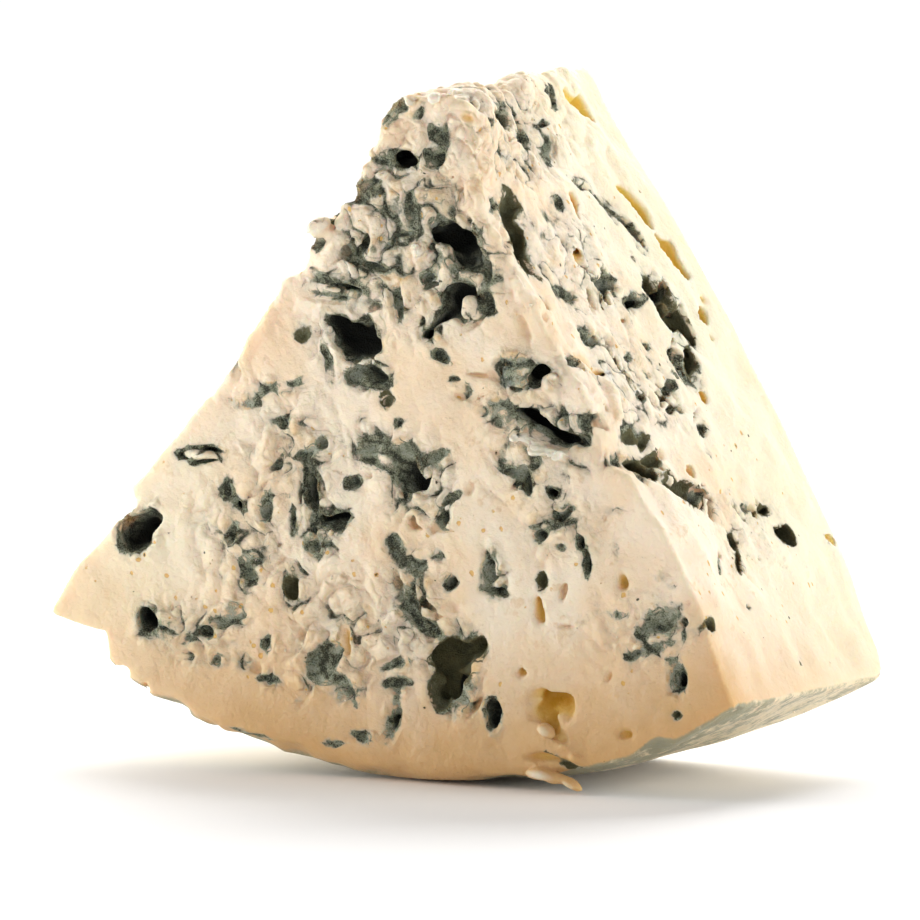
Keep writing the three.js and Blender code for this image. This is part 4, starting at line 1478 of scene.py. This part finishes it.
    def _paste_colour(
        self, sheet: NodeSheet, mark: dict[str, Link], broad: Link, patch: Link, fine: Link
    ) -> Link:
        """The colour of the paste and the rind, with painted light and shade laid in: a painted glow toward
        the back and the tip, and painted shade in recesses and low down.

        Args:
            sheet: The node sheet to add to.
            mark: The values stored on the vertices, with the depths from the rind and the front.
            broad: Noise from one part of the wedge to another.
            patch: Broad noise.
            fine: Fine noise.

        Returns:
            The colour.
        """
        colour = sheet.colour_mix(broad.ramp(0.38, 0.66), self.ivory, self.cream)
        spots = (patch + (fine - 0.5) * 0.5).ramp(0.6, 0.74) * 0.35
        colour = sheet.colour_mix(spots, colour, self.tan)
        stain = mark["mould"].ramp(0.3, 0.6) * (patch * 1.2 + fine * 0.6 - 0.4).ramp(0.48, 0.64)
        colour = sheet.colour_mix(stain * 0.5, colour, self.stain)
        # Painted light: the paste turns paler and yellower toward the back and the left tip, a painted glow
        # where backlight shines through it.
        side = (mark["back"] + (patch - 0.5) * 12).ramp(-12.0, 20.0).or_more(mark["tip"].ramp(24.0, 60.0))
        colour = sheet.colour_mix(side * 0.8, colour, self.painted_glow_straw)
        # Tan toward the curved rind, strongest on the front face and weaker toward the painted glow: partly
        # the paste's own tint near the rind, partly painted shade on the low band above the floor.
        rind_tint_and_shade = 1 - (mark["crust"] + (patch - 0.5) * 9).ramp(0.5, 22.0)
        flank = mark["back"].ramp(-23.0, -17.0)
        colour = sheet.colour_mix(rind_tint_and_shade * (0.9 - side * 0.5) * (1 - flank * 0.5), colour, self.tan)
        # Painted light: the flake that stands out in front of the front face is painted pale, as if lit.
        colour = sheet.colour_mix((1 - mark["back"].ramp(-25.4, -24.4)) * 0.8, colour, self.painted_flake_highlight)
        # Painted shade: the paste turns warmer and darker the deeper a place sits below the cut face, in
        # grooves and scallops.
        painted_recess_shade = (mark["sunk"] + (fine - 0.5) * 0.5).ramp(0.35, 1.5) * (0.7 - side * 0.4)
        colour = sheet.colour_mix(painted_recess_shade, colour, self.recess_shade_colour)
        hollow = mark["bare"].ramp(0.35, 0.8) * mark["sunk"].ramp(0.2, 1.2)
        # Deeper in a bare hollow the honey turns to darker amber: partly the hollow's own colour, partly
        # painted shade.
        amber_and_depth_shade = (mark["sunk"] + (fine - 0.5) * 1.2).ramp(0.3, 2.2)
        honey = sheet.colour_mix(amber_and_depth_shade, self.honey, self.amber)
        # Painted light: bare hollows toward the back turn bright gold, a painted backlit glow.
        honey = sheet.colour_mix(mark["back"].ramp(0.0, 14.0) * 0.85, honey, self.backlit_gold)
        colour = sheet.colour_mix(hollow, colour, honey)
        skin = 1 - (mark["rind"] + (fine - 0.5) * 0.5).ramp(0.25, 0.7)
        # The rind greys toward the front edge: partly its own grey streaks, partly painted shade along the
        # shadowed bottom edge.
        front_grey_and_shade = 1 - mark["back"].ramp(-24.0, -8.0)
        streak = (patch * 0.6 + fine * 0.5 + front_grey_and_shade * 0.16).ramp(0.5, 0.66)
        rind = sheet.colour_mix(streak * 0.75, self.rind, self.rind_grey)
        return sheet.colour_mix(skin, colour, rind)

    def _mould_colour(
        self, sheet: NodeSheet, mark: dict[str, Link], crest: Link, patch: Link, fine: Link
    ) -> Link:
        """The colour of the mould: pale and furry on the crests, near black deep down, partly its own dark
        colour and partly painted shade.

        Args:
            sheet: The node sheet to add to.
            mark: The values stored on the vertices.
            crest: How high a place is on its grain.
            patch: Broad noise.
            fine: Fine noise.

        Returns:
            The colour.
        """
        colour = sheet.colour_mix(crest.ramp(-0.05, 0.5), self.mould_dark, self.mould_green)
        fur = (crest + (patch - 0.5) * 0.8).ramp(0.35, 0.85) * 0.85
        colour = sheet.colour_mix(fur, colour, self.mould_pale)
        # Deep in a hollow the mould turns near black: partly its own dark colour, partly painted shade.
        deep = (mark["sunk"] + (fine - 0.5) * 1.4).ramp(0.8, 2.9)
        colour = sheet.colour_mix(deep, colour, self.mould_black_and_depth_shade)
        shade = (fine + patch + mark["sunk"] * 0.06).ramp(1.05, 1.75) * 0.9
        green = sheet.colour_mix(shade, self.olive, self.mould_black_and_depth_shade)
        return sheet.colour_mix(mark["olive"].ramp(0.2, 0.7) * 0.85, colour, green)


@dataclass(frozen=True)
class FloorFinish:
    """Matt white studio floor."""

    white: Colour = (0.97, 0.965, 0.97)

    def material(self) -> bpy.types.Material:
        """Builds the floor's material.

        Returns:
            The material.
        """
        material, sheet = started_material("studio_floor")
        cloud = sheet.noise(sheet.node("ShaderNodeTexCoord", {}, {}, "Object"), 6.0)
        dimmer = tuple(0.985 * value for value in self.white)
        colour = sheet.colour_mix(cloud, self.white, dimmer)
        sheet.surface({"Base Color": colour, "Roughness": 0.9})
        return material


# ---------------------------------------------------------------------------------------------------------
# Crumbs
# ---------------------------------------------------------------------------------------------------------


@dataclass
class ClingingCrumbs:
    """Crumbs of paste that cling to the torn parts of the wedge."""

    density: float = 90_000.0
    smallest: float = 0.16
    largest: float = 0.5
    rarity: float = 3.0
    raggedness: float = 1.6
    seed: int = 7

    def build(self, wedge: bpy.types.Object, finish: bpy.types.Material) -> bpy.types.Object:
        """Scatters the crumbs.

        Args:
            wedge: The finished wedge.
            finish: The crumbs' material.

        Returns:
            The crumbs as one plain object.
        """
        sizes = {"Density": self.density, "Smallest": self.smallest * MM, "Largest": self.largest * MM}
        tree = PasteTree("crumb_scatter", sizes)
        sheet = tree.sheet
        sunk = sheet.stored_value("sunk").ramp(0.3, 0.9)
        chance = (sheet.stored_value("crumble") - 0.1).ramp(0.1, 0.9) * (1 - sunk) + 0.01
        spread = {"Mesh": tree.paste, "Density": chance * tree.size("Density"), "Seed": self.seed}
        way = {"distribute_method": "RANDOM"}
        points = sheet.node("GeometryNodeDistributePointsOnFaces", way, spread)
        turn = self._random_vector(sheet, 0.0, FULL_TURN, self.seed + 1)
        squash = self._random_vector(sheet, 0.5, 1.0, self.seed + 2)
        limits = {2: 0.0, 3: 1.0, 8: self.seed + 3}
        draw = sheet.node("FunctionNodeRandomValue", {"data_type": "FLOAT"}, limits, 1)
        smallest = tree.size("Smallest")
        size = smallest + (draw**self.rarity) * (tree.size("Largest") - smallest)
        scale = sheet.vector_maths("MULTIPLY", squash, size)
        placed = {"Points": points, "Instance": self._ragged_ball(sheet), "Rotation": turn, "Scale": scale}
        tree.end(sheet.node("GeometryNodeInstanceOnPoints", {}, placed), finish)
        bearer = bpy.data.objects.new("crumb_bearer", wedge.data.copy())
        bpy.context.scene.collection.objects.link(bearer)
        tree.put_on(bearer)
        piece = finished_copy(bearer, "clinging_crumbs")
        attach(piece, "root")
        return piece

    def _ragged_ball(self, sheet: NodeSheet) -> Link:
        """The shape that every crumb is a turned and squashed copy of.

        Args:
            sheet: The node sheet to add to.

        Returns:
            A smooth-shaded ball of unit radius, pulled out of shape.
        """
        ball = sheet.node("GeometryNodeMeshIcoSphere", {}, {"Radius": 1.0, "Subdivisions": 2})
        place = sheet.node("GeometryNodeInputPosition", {}, {})
        shake = sheet.node("ShaderNodeTexNoise", {}, {"Vector": place, "Scale": 1.3}, "Color")
        shake = sheet.vector_maths("SUBTRACT", shake, (0.5,) * 3)
        shake = sheet.vector_maths("MULTIPLY", shake, (self.raggedness,) * 3)
        lump = sheet.node("GeometryNodeSetPosition", {}, {"Geometry": ball, "Offset": shake})
        return sheet.node("GeometryNodeSetShadeSmooth", {}, {"Geometry": lump})

    def _random_vector(self, sheet: NodeSheet, low: float, high: float, seed: int) -> Link:
        """A vector of three random numbers for each crumb.

        Args:
            sheet: The node sheet to add to.
            low: The lowest number.
            high: The highest number.
            seed: The seed.

        Returns:
            The vector.
        """
        limits = {"Min": (low,) * 3, "Max": (high,) * 3, "Seed": seed}
        return sheet.node("FunctionNodeRandomValue", {"data_type": "FLOAT_VECTOR"}, limits)


@dataclass(frozen=True)
class CrumbFinish:
    """Dry ivory paste."""

    ivory: Colour = (0.88, 0.74, 0.56)
    tan: Colour = (0.74, 0.55, 0.34)

    def material(self) -> bpy.types.Material:
        """Builds the crumbs' material.

        Returns:
            The material.
        """
        material, sheet = started_material("paste_crumbs")
        place = sheet.object_place()
        patch, fine = sheet.noise(place, 0.5), sheet.noise(place, 3.0, 3.0)
        colour = sheet.colour_mix((patch + fine * 0.4).ramp(0.6, 0.9), self.ivory, self.tan)
        bump = sheet.node("ShaderNodeBump", {}, {"Strength": 0.7, "Distance": MM * 0.3, "Height": fine})
        sockets = {
            "Base Color": colour,
            "Roughness": 0.45 + fine * 0.3,
            "Normal": bump,
            "Subsurface Weight": 0.35,
            "Subsurface Radius": (1.0, 0.5, 0.24),
            "Subsurface Scale": 0.002,
        }
        sheet.surface(sockets)
        return material


# ---------------------------------------------------------------------------------------------------------
# Studio
# ---------------------------------------------------------------------------------------------------------


@dataclass
class Studio:
    """The white floor, the soft lights and the camera.

    A light's place is given by its parts to the right of the camera, away from it and up.
    """

    azimuth: float = 28.9
    elevation: float = 5.0
    distance: float = 1.4553
    lens: float = 398.4
    aim_shift: Vector3 = (0.0014, -0.0051, -0.00455)
    sky_low: float = 0.86
    sky_behind: float = 0.4
    sky_high: float = 0.22
    key_from: Vector3 = (0.12, 1.0, 0.85)
    key_strength: float = 3.0
    key_spread_deg: float = 52.0
    key_colour: Colour = (1.0, 0.985, 0.96)
    side_from: Vector3 = (1.1, -0.3, 0.36)
    side_power: float = 6.8
    side_size: float = 0.5
    side_colour: Colour = (1.0, 0.99, 0.98)
    edge_from: Vector3 = (-0.4, 0.1, 0.1)
    edge_power: float = 1.25
    edge_size: float = 0.26
    edge_colour: Colour = (1.0, 0.97, 0.9)
    floor_reach: float = 20.0

    def build(self) -> None:
        """Sets up the studio."""
        scene = bpy.context.scene
        scene.view_settings.view_transform = "Standard"
        low, high = (Vector(corner) for corner in CAD_BOUNDS)
        middle = (low + high) / 2
        self._camera(middle + Vector(self.aim_shift))
        self._sky()
        self._key_light(self._offset(self.key_from))
        side, edge = middle + self._offset(self.side_from), middle + self._offset(self.edge_from)
        self._lamp("side_light", (side, middle), self.side_power, self.side_size, self.side_colour)
        self._lamp("edge_light", (edge, middle), self.edge_power, self.edge_size, self.edge_colour)
        self._floor()

    def _directions(self) -> tuple[Vector, Vector]:
        """The directions to the right of the camera and away from it, along the floor."""
        turn = math.radians(self.azimuth)
        return Vector((math.cos(turn), math.sin(turn), 0)), Vector((-math.sin(turn), math.cos(turn), 0))

    def _offset(self, parts: Vector3) -> Vector:
        """An offset from its parts to the right of the camera, away from it and up."""
        right, behind = self._directions()
        return right * parts[0] + behind * parts[1] + Vector((0, 0, parts[2]))

    def _camera(self, aim: Vector) -> None:
        """Places the camera.

        Args:
            aim: The point that it looks at.
        """
        _, behind = self._directions()
        lift = math.radians(self.elevation)
        back = -behind * math.cos(lift) + Vector((0, 0, math.sin(lift)))
        camera = bpy.data.objects.new("camera", bpy.data.cameras.new("camera"))
        camera.data.lens = self.lens
        camera.data.clip_start = 0.05
        camera.data.clip_end = 60
        camera.location = aim + back * self.distance
        camera.rotation_euler = (-back).to_track_quat("-Z", "Y").to_euler()
        bpy.context.scene.collection.objects.link(camera)
        bpy.context.scene.camera = camera

    def _sky(self) -> None:
        """Hangs white surroundings, which are dimmer as a light than as a backdrop."""
        world = bpy.data.worlds.new("white_surround")
        world.use_nodes = True
        bpy.context.scene.world = world
        sheet = NodeSheet(world.node_tree)
        seen = sheet.node("ShaderNodeLightPath", {}, {}, "Is Camera Ray")
        towards = sheet.node("ShaderNodeTexCoord", {}, {}, "Generated")
        height = sheet.coordinate(towards, 2)
        both = {0: towards, 1: self._directions()[1]}
        back = sheet.node("ShaderNodeVectorMath", {"operation": "DOT_PRODUCT"}, both, "Value")
        low = self.sky_low + back.ramp(-0.5, 0.4) * self.sky_behind
        glow = low + height.ramp(0.1, 0.75) * (self.sky_high - low)
        strength = glow + seen * (1.02 - glow)
        sky = sheet.node("ShaderNodeBackground", {}, {"Color": (1.0, 1.0, 1.0), "Strength": strength})
        sheet.node("ShaderNodeOutputWorld", {}, {"Surface": sky})

    def _key_light(self, towards: Vector) -> None:
        """Adds the main light, far off and broad.

        Args:
            towards: The direction that it comes from.
        """
        data = bpy.data.lights.new("key_light", "SUN")
        data.energy, data.angle = self.key_strength, math.radians(self.key_spread_deg)
        data.color = self.key_colour
        lamp = bpy.data.objects.new("key_light", data)
        lamp.location = towards
        lamp.rotation_euler = towards.to_track_quat("Z", "Y").to_euler()
        bpy.context.scene.collection.objects.link(lamp)

    def _lamp(
        self, name: str, ends: tuple[Vector, Vector], power: float, size: float, colour: Colour
    ) -> None:
        """Adds one soft square light.

        Args:
            name: The light's name.
            ends: Where it stands, and the point that it shines at.
            power: Its power in watts.
            size: The length of its side in metres.
            colour: Its colour.
        """
        place, target = ends
        data = bpy.data.lights.new(name, "AREA")
        data.energy, data.size, data.color = power, size, colour
        lamp = bpy.data.objects.new(name, data)
        lamp.location = place
        lamp.rotation_euler = (target - place).to_track_quat("-Z", "Y").to_euler()
        bpy.context.scene.collection.objects.link(lamp)

    def _floor(self) -> None:
        """Lays the floor at the height that the wedge stands on."""
        reach, level = self.floor_reach, CAD_BOUNDS[0][2]
        corners = [(-reach, -reach), (reach, -reach), (reach, reach), (-reach, reach)]
        points = np.array([(x, y, level) for x, y in corners])
        mesh = mesh_from("studio_floor", points, np.array([[0, 1, 2, 3]]))
        floor = bpy.data.objects.new("studio_floor", mesh)
        floor.data.materials.append(FloorFinish().material())
        bpy.context.scene.collection.objects.link(floor)


def main() -> None:
    """Builds the wedge, its crumbs and the studio."""
    logging.basicConfig(level=logging.INFO, format="%(message)s")
    grains = CurdGrains()
    paste = CarvedPaste(Block())
    paste.build()
    LOG.info("carved the paste")
    wedge = CheeseWedge(paste, grains).build(PasteFinish(grains).material())
    LOG.info("cheese_paste: %d triangles", sum(len(p.vertices) - 2 for p in wedge.data.polygons))
    crumbs = ClingingCrumbs().build(wedge, CrumbFinish().material())
    LOG.info("clinging_crumbs: %d triangles", len(crumbs.data.polygons))
    Studio().build()
    LOG.info("studio")


if __name__ == "__main__":
    main()
